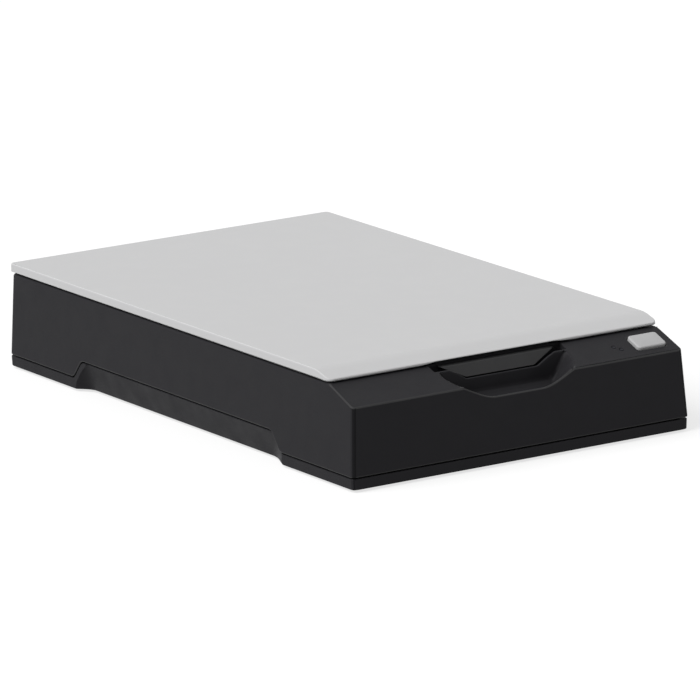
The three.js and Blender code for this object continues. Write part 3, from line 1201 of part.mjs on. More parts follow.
// Carriage: a tray under the sensor, with a bearing on the guide shaft and a clip on the belt
function makeCarriage() {
  const half = SENSOR_HALF + CARRIAGE_MARGIN + CARRIAGE_WALL;
  const innerHalf = SENSOR_HALF + CARRIAGE_MARGIN;
  const depth = SENSOR_DEPTH / 2 + CARRIAGE_MARGIN + CARRIAGE_WALL;
  const innerDepth = SENSOR_DEPTH / 2 + CARRIAGE_MARGIN;
  const tray = sensorBar(half, [-depth, depth], [PLATE_BOTTOM_Z, PLATE_TOP_Z + CARRIAGE_LIP_RISE]);
  const wallTop = PLATE_TOP_Z + CARRIAGE_WALL_RISE;
  const endWalls = sensorBar(half, [-SLIDER_LENGTH / 2, SLIDER_LENGTH / 2], [PLATE_BOTTOM_Z, wallTop]);
  const hollow = sensorBar(innerHalf, [-innerDepth, innerDepth], [PLATE_TOP_Z, SENSOR_TOP_Z]);
  const bearingLow = SHAFT_Z - SHAFT_RADIUS - SADDLE_COVER;
  const bearing = block(
    [SHAFT_X - BEARING_HALF_WIDTH, SHAFT_X + BEARING_HALF_WIDTH],
    [SENSOR_Y - BEARING_HALF_LENGTH, SENSOR_Y + BEARING_HALF_LENGTH],
    [bearingLow, PLATE_BOTTOM_Z + CARRIAGE_PLATE / 2],
  );
  const clip = block(
    [BELT_RUN_X - CLIP_HALF_WIDTH, BELT_RUN_X + CLIP_HALF_WIDTH],
    [SENSOR_Y - CLIP_HALF_LENGTH, SENSOR_Y + CLIP_HALF_LENGTH],
    [BELT_BOTTOM_Z, PLATE_BOTTOM_Z + CARRIAGE_PLATE / 2],
  );
  const slotHalf = BELT_THICKNESS / 2 + FIT_GAP;
  const bore = SHAFT_RADIUS + SHAFT_RUNNING_GAP;
  const far = OVERRUN + BEARING_HALF_LENGTH;
  const beltSlot = block(
    [BELT_RUN_X - slotHalf, BELT_RUN_X + slotHalf],
    [SENSOR_Y - far, SENSOR_Y + far],
    [FLOOR_Z, BELT_TOP_Z + FIT_GAP],
  );
  return cut(joined([tray, endWalls]).subtract(hollow).add(bearing).add(clip), [
    bar(bore, [SHAFT_X, SENSOR_Y - far, SHAFT_Z], [SHAFT_X, SENSOR_Y + far, SHAFT_Z]),
    beltSlot,
  ]);
}
addPiece("sensor_carriage", makeCarriage(), darkPlastic());

// Guide shaft in two saddles that stand on the floor
addPiece(
  "guide_shaft",
  bar(SHAFT_RADIUS, [SHAFT_X, SHAFT_FRONT_Y, SHAFT_Z], [SHAFT_X, SHAFT_REAR_Y, SHAFT_Z]),
  steel(),
);
const saddleInset = FIT_GAP + SEAT_GAP;
for (const [name, y] of [
  ["front", SHAFT_FRONT_Y + saddleInset],
  ["rear", SHAFT_REAR_Y - saddleInset - SADDLE_LENGTH],
]) {
  const saddle = block(
    [SHAFT_X - SADDLE_WIDTH / 2, SHAFT_X + SADDLE_WIDTH / 2],
    [y, y + SADDLE_LENGTH],
    [FLOOR_Z + SEAT_GAP, SHAFT_Z + SHAFT_RADIUS + SADDLE_COVER],
  );
  const ends = [y - OVERRUN, y + SADDLE_LENGTH + OVERRUN];
  const bore = bar(SHAFT_RADIUS + SEAT_GAP, [SHAFT_X, ends[0], SHAFT_Z], [SHAFT_X, ends[1], SHAFT_Z]);
  addPiece("shaft_saddle_" + name, saddle.subtract(bore), darkPlastic());
}

// Toothed gears: three points a flank on the involute, from the root to the tip
function involute(radius, baseRadius) {
  const angle = Math.acos(Math.min(1, baseRadius / radius));
  return Math.tan(angle) - angle;
}

function gearOutline(teeth, phase, x, y) {
  const pitchRadius = (GEAR_MODULE * teeth) / 2;
  const baseRadius = pitchRadius * Math.cos(PRESSURE_ANGLE);
  const tipRadius = pitchRadius + GEAR_MODULE * ADDENDUM_SHARE;
  const rootRadius = pitchRadius - GEAR_MODULE * DEDENDUM_SHARE;
  const halfTooth = ((HALF_TURN * GEAR_MODULE) / 2 - TOOTH_BACKLASH) / (2 * pitchRadius);
  const flank = [rootRadius, pitchRadius, tipRadius].map((radius) => {
    const swing = involute(pitchRadius, baseRadius) - involute(Math.max(radius, baseRadius), baseRadius);
    return [radius, halfTooth + swing];
  });
  const points = [];
  for (let tooth = 0; tooth < teeth; tooth++) {
    const middle = phase + (FULL_TURN * tooth) / teeth;
    for (const [radius, half] of flank) {
      points.push([x + radius * Math.cos(middle - half), y + radius * Math.sin(middle - half)]);
    }
    for (const [radius, half] of [...flank].reverse()) {
      points.push([x + radius * Math.cos(middle + half), y + radius * Math.sin(middle + half)]);
    }
  }
  return points;
}

// A tooth of one gear stands on the line between two meshed gears, and a gap of the other
const drivePhase = REDUCTION_DIRECTION;
const smallPhase = REDUCTION_DIRECTION + HALF_TURN + HALF_TURN / SMALL_TEETH;
const wheelPhase = MOTOR_DIRECTION;
const pinionPhase = MOTOR_DIRECTION + HALF_TURN + HALF_TURN / PINION_TEETH;

function pulleySolid(x, y) {
  const flangeRadius = PULLEY_RADIUS + PULLEY_FLANGE_REACH;
  return joined([
    upright(flangeRadius, x, y, PULLEY_BOTTOM_Z, PULLEY_BOTTOM_Z + PULLEY_FLANGE),
    upright(PULLEY_RADIUS, x, y, PULLEY_BOTTOM_Z, PULLEY_TOP_Z),
    upright(flangeRadius, x, y, PULLEY_TOP_Z - PULLEY_FLANGE, PULLEY_TOP_Z),
  ]);
}

function axleBore(x, y) {
  return upright(AXLE_RADIUS + AXLE_RUNNING_GAP, x, y, FLOOR_Z, TOTAL_HEIGHT, ROUND_SIDES);
}
const driveOutline = gearOutline(DRIVE_TEETH, drivePhase, PULLEY_X, DRIVE_Y);
const driveGear = upwards(driveOutline, [PULLEY_TOP_Z, DRIVE_GEAR_TOP_Z]);
const drivePulley = pulleySolid(PULLEY_X, DRIVE_Y).add(driveGear);
addPiece("drive_pulley", drivePulley.subtract(axleBore(PULLEY_X, DRIVE_Y)), gearWhite());
const idlerPulley = pulleySolid(PULLEY_X, IDLER_Y);
addPiece("idler_pulley", idlerPulley.subtract(axleBore(PULLEY_X, IDLER_Y)), gearWhite());

function makeReductionGear() {
  const small = gearOutline(SMALL_TEETH, smallPhase, REDUCTION_X, REDUCTION_Y);
  const wheel = gearOutline(WHEEL_TEETH, wheelPhase, REDUCTION_X, REDUCTION_Y);
  return joined([
    upwards(small, [PULLEY_TOP_Z - FIT_GAP, WHEEL_BOTTOM_Z]),
    upwards(wheel, [WHEEL_BOTTOM_Z, WHEEL_TOP_Z]),
  ]).subtract(axleBore(REDUCTION_X, REDUCTION_Y));
}
addPiece("reduction_gear", makeReductionGear(), gearWhite());

for (const [name, x, y, bottom, top] of [
  ["drive_axle", PULLEY_X, DRIVE_Y, FLOOR_Z + SEAT_GAP, DRIVE_GEAR_TOP_Z + FIT_GAP],
  ["reduction_axle", REDUCTION_X, REDUCTION_Y, FLOOR_Z + SEAT_GAP, WHEEL_TOP_Z + FIT_GAP],
  ["idler_axle", PULLEY_X, IDLER_Y, FLOOR_Z + 2 * SEAT_GAP, PULLEY_TOP_Z + FIT_GAP],
]) {
  addPiece(name, upright(AXLE_RADIUS, x, y, bottom, top), steel());
}

// Belt: two straight runs and a half turn round each pulley
function beltOutline(radius) {
  return [
    ...arc(PULLEY_X, DRIVE_Y, radius, 0, HALF_TURN, BELT_STEPS),
    ...arc(PULLEY_X, IDLER_Y, radius, HALF_TURN, FULL_TURN, BELT_STEPS),
  ];
}
const beltSpan = [BELT_BOTTOM_Z, BELT_TOP_Z];
const hollowSpan = [BELT_BOTTOM_Z - OVERRUN, BELT_TOP_Z + OVERRUN];
const beltHollow = upwards(beltOutline(BELT_INNER_RADIUS), hollowSpan);
addPiece("drive_belt", upwards(beltOutline(BELT_OUTER_RADIUS), beltSpan).subtract(beltHollow), rubber());

// Idler bracket: a plate on the floor, pushed forward by the tension spring
function makeIdlerBracket() {
  const low = FLOOR_Z + SEAT_GAP;
  const sheet = [low, low + BRACKET_PLATE];
  const plateSpan = [IDLER_Y - IDLER_PLATE_HALF, IDLER_Y + IDLER_PLATE_HALF];
  const earRight = TENSION_SPRING_X + TENSION_EAR_HALF;
  const plate = block([PULLEY_X - IDLER_PLATE_HALF, PULLEY_X + IDLER_PLATE_HALF], plateSpan, sheet);
  const arm = block([PULLEY_X, earRight], [tensionEarFront() - BRACKET_PLATE, plateSpan[1]], sheet);
  const boss = upright(AXLE_RADIUS + AXLE_BOSS_WALL, PULLEY_X, IDLER_Y, low, PULLEY_BOTTOM_Z - FIT_GAP);
  const ear = block(
    [TENSION_SPRING_X - TENSION_EAR_HALF, earRight],
    [tensionEarFront(), tensionEarFront() + TENSION_EAR_THICKNESS],
    [low, FLOOR_Z + TENSION_EAR_HEIGHT],
  );
  const boreLow = low + SEAT_GAP / 2;
  const bore = upright(AXLE_RADIUS + SEAT_GAP / 2, PULLEY_X, IDLER_Y, boreLow, PULLEY_BOTTOM_Z);
  return joined([plate, arm, boss, ear]).subtract(bore);
}
addPiece("idler_bracket", makeIdlerBracket(), steel());

function makeTensionSpring() {
  const z = FLOOR_Z + TENSION_EAR_HEIGHT / 2 + SEAT_GAP;
  const round = (radius, extra) => bar(
    radius,
    [TENSION_SPRING_X, tensionSpringFront() - extra, z],
    [TENSION_SPRING_X, tensionSpringRear() + extra, z],
    SMALL_SIDES,
  );
  const hollow = round(TENSION_SPRING_RADIUS - TENSION_SPRING_WIRE, OVERRUN);
  return round(TENSION_SPRING_RADIUS, 0).subtract(hollow);
}
addPiece("tension_spring", makeTensionSpring(), steel());

// Motor with its shaft pointing down through the bracket into the reduction wheel's pinion
function makeMotor() {
  const ear = MOTOR_SCREW_REACH + SMALL_SCREW_HEAD_RADIUS + FIT_GAP;
  const earHalf = SMALL_SCREW_HEAD_RADIUS + FIT_GAP;
  const can = upright(MOTOR_RADIUS, MOTOR_X, MOTOR_Y, MOTOR_BOTTOM_Z, MOTOR_TOP_Z);
  const flange = block(
    [MOTOR_X - ear, MOTOR_X + ear],
    [MOTOR_Y - earHalf, MOTOR_Y + earHalf],
    [MOTOR_BOTTOM_Z, MOTOR_BOTTOM_Z + MOTOR_FLANGE],
  );
  const shaftBore = MOTOR_SHAFT_RADIUS + AXLE_RUNNING_GAP;
  const boreLow = MOTOR_BOTTOM_Z - OVERRUN;
  const tools = [upright(shaftBore, MOTOR_X, MOTOR_Y, boreLow, MOTOR_MIDDLE_Z, SMALL_SIDES)];
  for (const side of [-1, 1]) {
    const x = MOTOR_X + side * MOTOR_SCREW_REACH;
    tools.push(upright(SMALL_SCREW_RADIUS + SEAT_GAP, x, MOTOR_Y, boreLow, MOTOR_TOP_Z, SMALL_SIDES));
  }
  return cut(can.add(flange), tools);
}
addPiece("motor_body", makeMotor(), steel());

function makePinion() {
  const low = WHEEL_BOTTOM_Z - FIT_GAP;
  const outline = gearOutline(PINION_TEETH, pinionPhase, MOTOR_X, MOTOR_Y);
  const shaftTop = MOTOR_MIDDLE_Z - FIT_GAP;
  return joined([
    upwards(outline, [low, WHEEL_TOP_Z + FIT_GAP]),
    upright(MOTOR_SHAFT_RADIUS, MOTOR_X, MOTOR_Y, low, shaftTop, SMALL_SIDES),
  ]);
}
addPiece("motor_pinion", makePinion(), steel());

function makeMotorBracket() {
  const x = [MOTOR_X - BRACKET_REACH, MOTOR_X + BRACKET_REACH];
  const y = [MOTOR_Y - BRACKET_FRONT, MOTOR_Y + BRACKET_BACK];
  const footZ = FLOOR_Z + SEAT_GAP;
  const pieces = [
    block(x, y, [BRACKET_BOTTOM_Z, BRACKET_TOP_Z]),
    block([x[1] - BRACKET_THICKNESS, x[1]], y, [footZ, BRACKET_TOP_Z]),
    block([MOTOR_X + BRACKET_LEG_LEFT, x[1]], [y[0], y[0] + BRACKET_THICKNESS], [footZ, BRACKET_TOP_Z]),
    block([MOTOR_X + BRACKET_LEG_LEFT, x[1]], y, [footZ, footZ + BRACKET_THICKNESS]),
  ];
  const shaftHole = MOTOR_SHAFT_RADIUS + 2 * FIT_GAP;
  const tools = [upright(shaftHole, MOTOR_X, MOTOR_Y, FLOOR_Z, TOTAL_HEIGHT, SMALL_SIDES)];
  for (const side of [-1, 1]) {
    const screwX = MOTOR_X + side * MOTOR_SCREW_REACH;
    const screwHole = SMALL_SCREW_RADIUS + SEAT_GAP;
    tools.push(upright(screwHole, screwX, MOTOR_Y, WHEEL_TOP_Z, TOTAL_HEIGHT, SMALL_SIDES));
  }
  return cut(joined(pieces), tools);
}
addPiece("motor_bracket", makeMotorBracket(), steel());
for (const [side, name] of [[-1, "left"], [1, "right"]]) {
  const x = MOTOR_X + side * MOTOR_SCREW_REACH;
  const headBottom = MOTOR_BOTTOM_Z + MOTOR_FLANGE + SEAT_GAP;
  const length = headBottom - BRACKET_BOTTOM_Z + SEAT_GAP;
  addPiece("motor_screw_" + name, smallScrew(x, MOTOR_Y, headBottom, length), steel());
}

// Main board on its standoffs, with the sockets at the back wall
addPiece(
  "main_board",
  block([MAIN_BOARD_LEFT, MAIN_BOARD_RIGHT], [BOARD_FRONT_Y, BOARD_REAR_Y], [BOARD_BOTTOM_Z, BOARD_TOP_Z]),
  board(),
);

function makeUsbSocket() {
  const low = BOARD_TOP_Z + SEAT_GAP;
  const half = USB_WIDTH / 2;
  const frontY = SOCKET_REAR_Y - USB_LENGTH;
  const shell = block([USB_X - half, USB_X + half], [frontY, SOCKET_REAR_Y], [low, low + USB_HEIGHT]);
  const mouth = block(
    [USB_X - half + USB_WALL, USB_X + half - USB_WALL],
    [frontY + USB_WALL, SOCKET_REAR_Y + OVERRUN],
    [low + USB_WALL, low + USB_HEIGHT - USB_WALL],
  );
  const middleZ = low + USB_HEIGHT / 2;
  const tongue = block(
    [USB_X - USB_WIDTH / 4, USB_X + USB_WIDTH / 4],
    [frontY, SOCKET_REAR_Y - USB_WALL],
    [middleZ - USB_TONGUE / 2, middleZ + USB_TONGUE / 2],
  );
  return shell.subtract(mouth).add(tongue);
}
addPiece("usb_socket", makeUsbSocket(), steel());

function makePowerSocket() {
  const low = BOARD_TOP_Z + SEAT_GAP;
  const half = POWER_WIDTH / 2;
  const frontY = SOCKET_REAR_Y - POWER_LENGTH;
  const z = low + POWER_HEIGHT / 2;
  const endY = SOCKET_REAR_Y - POWER_PIN_RADIUS;
  const body = block([POWER_X - half, POWER_X + half], [frontY, SOCKET_REAR_Y], [low, low + POWER_HEIGHT]);
  const bore = bar(
    POWER_BORE_RADIUS,
    [POWER_X, frontY + POWER_PIN_RADIUS, z],
    [POWER_X, SOCKET_REAR_Y + OVERRUN, z],
    SMALL_SIDES,
  );
  const pin = bar(POWER_PIN_RADIUS, [POWER_X, frontY, z], [POWER_X, endY, z], SMALL_SIDES);
  return body.subtract(bore).add(pin);
}
addPiece("power_socket", makePowerSocket(), darkPlastic());

const chipY = (BOARD_FRONT_Y + BOARD_REAR_Y) / 2;
addPiece(
  "controller_chip",
  block(
    [CHIP_X - CHIP_SIZE / 2, CHIP_X + CHIP_SIZE / 2],
    [chipY - CHIP_SIZE / 2, chipY + CHIP_SIZE / 2],
    [BOARD_TOP_Z + SEAT_GAP, BOARD_TOP_Z + SEAT_GAP + CHIP_HEIGHT],
  ),
  darkPlastic(),
);

// Ribbon: from its connector down to the floor, forward, and round a rolling bend to the carriage
const RIBBON_EXIT_Z = BOARD_TOP_Z + SEAT_GAP + CONNECTOR_HEIGHT / 2;
const RIBBON_LOW_Z = FLOOR_Z + SEAT_GAP + RIBBON_THICKNESS / 2;
const RIBBON_HIGH_Z = PLATE_BOTTOM_Z - RIBBON_BELOW_PLATE;

function ribbonPath() {
  const drop = RIBBON_DROP_RADIUS;
  const exitY = BOARD_FRONT_Y + CONNECTOR_LENGTH / 4;
  const bendRadius = (RIBBON_HIGH_Z - RIBBON_LOW_Z) / 2;
  const bendZ = RIBBON_LOW_Z + bendRadius;
  const bendY = SENSOR_Y - RIBBON_BEND_FROM_SENSOR;
  const downY = BOARD_FRONT_Y - 2 * drop;
  return [
    [exitY, RIBBON_EXIT_Z],
    ...arc(downY + drop, RIBBON_EXIT_Z - drop, drop, QUARTER_TURN, HALF_TURN, CURVE_STEPS),
    ...arc(downY - drop, RIBBON_LOW_Z + drop, drop, 0, -QUARTER_TURN, CURVE_STEPS),
    ...arc(bendY, bendZ, bendRadius, -QUARTER_TURN, -HALF_TURN - QUARTER_TURN, 2 * CURVE_STEPS),
    [SENSOR_Y - SENSOR_DEPTH / 2, RIBBON_HIGH_Z],
  ];
}

function offsetPath(path, distance) {
  return path.map(([y, z], i) => {
    const before = path[Math.max(0, i - 1)];
    const after = path[Math.min(path.length - 1, i + 1)];
    const span = Math.hypot(after[0] - before[0], after[1] - before[1]);
    return [y - (distance * (after[1] - before[1])) / span, z + (distance * (after[0] - before[0])) / span];
  });
}

function makeRibbon() {
  const path = ribbonPath();
  const outline = [
    ...offsetPath(path, RIBBON_THICKNESS / 2),
    ...offsetPath(path, -RIBBON_THICKNESS / 2).reverse(),
  ];
  return sideways(outline, [RIBBON_X - RIBBON_WIDTH / 2, RIBBON_X + RIBBON_WIDTH / 2]);
}
addPiece("ribbon_cable", makeRibbon(), whitePlastic());

function makeRibbonConnector() {
  const half = RIBBON_WIDTH / 2 + 2 * FIT_GAP;
  const low = BOARD_TOP_Z + SEAT_GAP;
  const body = block(
    [RIBBON_X - half - FIT_GAP, RIBBON_X + half + FIT_GAP],
    [BOARD_FRONT_Y, BOARD_FRONT_Y + CONNECTOR_LENGTH],
    [low, low + CONNECTOR_HEIGHT],
  );
  const slotHalf = RIBBON_THICKNESS / 2 + SEAT_GAP;
  const slot = block(
    [RIBBON_X - half, RIBBON_X + half],
    [BOARD_FRONT_Y - OVERRUN, BOARD_FRONT_Y + CONNECTOR_LENGTH / 2],
    [RIBBON_EXIT_Z - slotHalf, RIBBON_EXIT_Z + slotHalf],
  );
  return body.subtract(slot);
}
addPiece("ribbon_connector", makeRibbonConnector(), darkPlastic());

export default root;
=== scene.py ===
import json
import math

import bmesh
import bpy
from mathutils import Matrix, Vector


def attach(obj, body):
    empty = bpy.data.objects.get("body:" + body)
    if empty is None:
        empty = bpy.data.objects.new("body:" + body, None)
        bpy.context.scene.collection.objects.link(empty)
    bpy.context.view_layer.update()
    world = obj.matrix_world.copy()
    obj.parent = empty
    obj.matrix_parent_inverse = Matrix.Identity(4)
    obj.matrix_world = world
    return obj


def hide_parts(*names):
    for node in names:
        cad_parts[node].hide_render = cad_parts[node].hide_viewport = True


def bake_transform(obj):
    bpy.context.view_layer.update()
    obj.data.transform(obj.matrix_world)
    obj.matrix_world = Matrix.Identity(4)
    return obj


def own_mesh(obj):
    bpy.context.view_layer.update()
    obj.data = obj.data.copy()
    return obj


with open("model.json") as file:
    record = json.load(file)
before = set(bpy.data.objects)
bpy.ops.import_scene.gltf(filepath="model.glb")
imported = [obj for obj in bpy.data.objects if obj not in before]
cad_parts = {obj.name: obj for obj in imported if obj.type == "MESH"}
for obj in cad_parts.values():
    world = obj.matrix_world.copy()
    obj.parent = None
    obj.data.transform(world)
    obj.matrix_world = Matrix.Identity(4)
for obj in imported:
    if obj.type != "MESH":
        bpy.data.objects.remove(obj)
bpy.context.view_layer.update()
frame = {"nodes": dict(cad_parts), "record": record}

nodes = frame["nodes"]
listed_bodies = frame["record"]["behaviour"]["bodies"]
body_of = {name: body for body, names in listed_bodies.items() for name in names}
MM = 0.001

# Sizes in mm, as in the part's source
HALF_WIDTH = 72.5
FRONT_Y, REAR_Y = -117.0, 117.0
BOTTOM_Z = 1.0
PARTING_Z, GRIP_PARTING_Z = 5.25, 12.1
TOP_Z = 36.34
WALL = 2.2
FIT_GAP, SEAT_GAP, OVERRUN = 0.3, 0.1, 5
SIDE_DRAFT, FRONT_DRAFT, REAR_DRAFT = 1.9, 1.98, 0.15
REAR_INNER = REAR_Y - REAR_DRAFT - WALL
LOWER_SET_IN, LOWER_LEAN, LOWER_CORNER = 0.5, 0.23, 2.5
CREST_Y = -92.08
STRIP_Y, STRIP_Z = -115.41, 30.26
LID_HALF, LID_FRONT, LID_TOP, LID_BOTTOM = 71.0, -100.33, 40.0, 36.9
LID_GAP, LID_SKIN, LID_RIM, NOSE_RIM = 0.56, 1.7, 1.8, 0.8
LID_POCKET_FROM_FRONT, NOSE_POCKET_HALF = 6.4, 27.5
HINGE_X, HINGE_Y, HINGE_Z = 45.0, 115.1, 30.8
EAR_RADIUS, EAR_HALF_WIDTH, NOTCH_BELOW_HINGE = 1.85, 2.6, 2.6
CHEEK_THICKNESS, CHEEK_LENGTH, POST_HEIGHT = 4, 8.6, 12
WELL_WALL, WELL_FLOOR = 1.8, 1.8
WINDOW_HALF, WINDOW_FRONT, WINDOW_REAR = 54.0, -86.08, 65.92
WINDOW_RADIUS, WINDOW_LIP, GLASS_MARGIN, GLASS_RIM = 2, 1.2, 4, 1.7
GLASS_BOTTOM = 32.44
BUTTON_X, BUTTON_Y = 61.1, -107.5
BOSS_LEFT, BOSS_RADIUS = 9.4, 1.9
LENSES = ((-14.7, 0.0), (-12.7, -2.0))
SCREWS = ((-37.0, -109.5), (37.0, -109.5), (-62.0, 108.0), (62.0, 108.0))
COLUMN_RADIUS, COLUMN_FOOT = 3.4, 8.1
PAD_HALF, PAD_FRONT, PAD_REAR, PAD_RADIUS = 53, -85.08, 64.92, 3

# Sizes in mm that were drawn from the photo for this scene
CORNER_RADIUS, REAR_CORNER = 1.5, 3.0
EDGE_ROUND, EDGE_DROP = 0.9, 0.25
BREAK_Y, BREAK_Z = -100.13, 36.1
STRIP_ANGLE = math.atan2(BREAK_Z - STRIP_Z, BREAK_Y - STRIP_Y)
BUTTON = Vector((BUTTON_X, BUTTON_Y, STRIP_Z + (BUTTON_Y - STRIP_Y) * math.tan(STRIP_ANGLE)))
SCOOP_HALF, SCOOP_LIP_HALF = 30.4, 9.8
SCOOP_LIP_Y, SCOOP_LIP_Z, SCOOP_REAR = -114.7, 25.4, -104.7
NOSE_LENGTH, NOSE_BEND, NOSE_SLOPE = 10.4, 5.5, 0.31
STEP_FRONT, STEP_FRONT_RUN = FRONT_Y + 47.1, 6.0
STEP_REAR, STEP_REAR_RUN = REAR_Y - 46.6, 5.2
STEP_REAR_NORMAL = (-0.7965, -0.6047)
STEP_BEND = 1.6
RECESS_DEPTH = 4.1
FLUSH = 0.35

# The two ends of a tool that cuts across the whole width
BEYOND = (-80, 80)


# ---------------------------------------------------------------- materials
materials = {}
ROUGH_SPREAD = 0.08


def node_material(name):
    """A new material, kept in materials under its name, with a shader to be set."""
    material = materials[name] = bpy.data.materials.new(name)
    material.use_nodes = True
    tree = material.node_tree
    tree.nodes.clear()
    output = tree.nodes.new("ShaderNodeOutputMaterial")
    shader = tree.nodes.new("ShaderNodeBsdfPrincipled")
    tree.links.new(shader.outputs["BSDF"], output.inputs["Surface"])
    return tree, shader


def noise(tree, scale, detail, stretch=None):
    """A noise of this scale in the object's own space."""
    coords = tree.nodes.new("ShaderNodeTexCoord")
    texture = tree.nodes.new("ShaderNodeTexNoise")
    texture.inputs["Scale"].default_value = scale
    texture.inputs["Detail"].default_value = detail
    source = coords.outputs["Object"]
    if stretch:
        mapping = tree.nodes.new("ShaderNodeMapping")
        mapping.inputs["Scale"].default_value = stretch
        tree.links.new(source, mapping.inputs["Vector"])
        source = mapping.outputs["Vector"]
    tree.links.new(source, texture.inputs["Vector"])
    return texture.outputs["Fac"]


def remap(tree, value, low, high):
    """A noise value spread from low to high. Most of a noise lies between 0.3 and 0.7."""
    ramp = tree.nodes.new("ShaderNodeMapRange")
    ramp.inputs["From Min"].default_value = 0.3
    ramp.inputs["From Max"].default_value = 0.7
    ramp.inputs["To Min"].default_value = low
    ramp.inputs["To Max"].default_value = high
    tree.links.new(value, ramp.inputs["Value"])
    return ramp.outputs["Result"]


def tint(tree, value, dark, light):
    """A colour between dark and light, by value."""
    mix = tree.nodes.new("ShaderNodeMix")
    mix.data_type = "RGBA"
    mix.inputs[6].default_value = (*dark, 1)
    mix.inputs[7].default_value = (*light, 1)
    tree.links.new(value, mix.inputs[0])
    return mix.outputs[2]


def surface(
    name,
    colour,
    rough=0.5,
    specular=0.5,
    spread=0.06,
    grain=0.4,
    bump=0.04,
    patch=9.0,
    stretch=None,
    metallic=0.0,
):
    """A moulded or metal surface. In mm, grain is the size and bump the height of its texture,
    and patch the size of its uneven areas. spread is how far its colour varies."""
    tree, shader = node_material(name)
    broad = noise(tree, 1 / (patch * MM), 3.0, stretch=stretch)
    fine = noise(tree, 1 / (grain * MM), 2.0, stretch=stretch)
    dark = [c * (1 - spread) for c in colour]
    light = [min(1.0, c * (1 + spread)) for c in colour]
    tree.links.new(tint(tree, remap(tree, broad, 0, 1), dark, light), shader.inputs["Base Color"])
    both = tree.nodes.new("ShaderNodeMath")
    both.operation = "ADD"
    tree.links.new(remap(tree, broad, rough - ROUGH_SPREAD, rough + ROUGH_SPREAD), both.inputs[0])
    tree.links.new(remap(tree, fine, -ROUGH_SPREAD / 2, ROUGH_SPREAD / 2), both.inputs[1])
    tree.links.new(both.outputs["Value"], shader.inputs["Roughness"])
    relief = tree.nodes.new("ShaderNodeBump")
    relief.inputs["Strength"].default_value = 1.0
    relief.inputs["Distance"].default_value = bump * MM
    tree.links.new(fine, relief.inputs["Height"])
    tree.links.new(relief.outputs["Normal"], shader.inputs["Normal"])
    shader.inputs["Specular IOR Level"].default_value = specular
    shader.inputs["Metallic"].default_value = metallic


surface("casing_black", (0.0198, 0.0194, 0.0215), 0.5, 0.06, grain=0.45, bump=0.03)
# A darker copy of the casing's colour, which paints shade on the forward part of the front corners.
surface("casing_corner_painted_shade", (0.0095, 0.0094, 0.0104), 0.5, 0.05, grain=0.45, bump=0.03)
# A lighter colour for rounded edges, which paints a highlight along them; it is also a little
# glossier.
surface("casing_edge_painted_highlight", (0.034, 0.034, 0.035), 0.42, 0.12, grain=0.7, bump=0.01)
surface("frame_black", (0.046, 0.046, 0.047), 0.55, 0.06, grain=0.35, bump=0.03)
# A darker copy of the frame's colour, which paints the shade between the handle and the lid.
surface("frame_painted_shade", (0.014, 0.014, 0.0145), 0.6, 0.05, grain=0.35, bump=0.03)
# A lighter colour for the frame's rounded edges, which paints a highlight along them; it is also a
# little glossier.
surface("frame_edge_painted_highlight", (0.055, 0.055, 0.056), 0.45, 0.1, grain=0.6, bump=0.01)
surface("lid_grey", (0.528, 0.528, 0.532), 0.55, 0.15, spread=0.012, grain=0.4, bump=0.012)
surface("key_grey", (0.405, 0.405, 0.41), 0.42, 0.25, spread=0.015, grain=0.3, bump=0.008)
surface("foot_rubber", (0.03, 0.03, 0.03), 0.8, 0.2, grain=0.25, bump=0.05)
surface("belt_rubber", (0.02, 0.02, 0.02), 0.75, 0.25, grain=0.3, bump=0.05)
surface("pad_foam", (0.045, 0.045, 0.047), 0.9, 0.15, spread=0.25, grain=0.5, bump=0.25)
surface("pad_white", (0.82, 0.82, 0.81), 0.5, 0.35, spread=0.01, grain=0.8, bump=0.02)
surface("screw_steel", (0.42, 0.42, 0.44), 0.32, grain=0.2, bump=0.01, metallic=1.0)
brushed = {"stretch": (1, 12, 1), "metallic": 1.0}
surface("bracket_steel", (0.6, 0.6, 0.61), 0.36, grain=0.25, bump=0.012, **brushed)
surface("pinion_brass", (0.72, 0.52, 0.24), 0.3, grain=0.2, bump=0.01, metallic=1.0)
surface("gear_white", (0.76, 0.74, 0.68), 0.42, 0.4, spread=0.03, grain=0.4, bump=0.01)
surface("inner_plastic", (0.035, 0.036, 0.038), 0.55, 0.3, grain=0.4, bump=0.04)
surface("board_green", (0.02, 0.13, 0.05), 0.38, 0.5, spread=0.12, grain=0.6, bump=0.02)
wires = {"patch": 0.7, "stretch": (1, 0.02, 0.02)}
surface("ribbon_white", (0.78, 0.78, 0.76), 0.4, 0.4, spread=0.12, grain=0.5, **wires)


def make_glass():
    """Clear glass with faint smudges."""
    tree, shader = node_material("platen_glass")
    smudge = noise(tree, 40, 4.0)
    tree.links.new(remap(tree, smudge, 0.0, 0.06), shader.inputs["Roughness"])
    shader.inputs["Base Color"].default_value = (0.93, 0.975, 0.955, 1)
    shader.inputs["Transmission Weight"].default_value = 1.0
    shader.inputs["IOR"].default_value = 1.5


def make_lens():
    """Dark bluish plastic, nearly clear of gloss."""
    tree, shader = node_material("lens_blue")
    cloud = noise(tree, 900, 2.0)
    colour = tint(tree, remap(tree, cloud, 0, 1), (0.003, 0.0035, 0.007), (0.006, 0.0065, 0.013))
    tree.links.new(colour, shader.inputs["Base Color"])
    tree.links.new(remap(tree, cloud, 0.15, 0.3), shader.inputs["Roughness"])
    shader.inputs["Specular IOR Level"].default_value = 0.1


make_glass()
make_lens()


# ---------------------------------------------------------------- solids, all in mm
def solid(name, points, faces):
    """A loose object of these faces, all turned outwards."""
    mesh = bpy.data.meshes.new(name)
    mesh.from_pydata([tuple(p) for p in points], [], [tuple(f) for f in faces])
    made = bmesh.new()
    made.from_mesh(mesh)
    bmesh.ops.recalc_face_normals(made, faces=made.faces)
    made.to_mesh(mesh)
    made.free()
    obj = bpy.data.objects.new(name, mesh)
    bpy.context.scene.collection.objects.link(obj)
    return obj


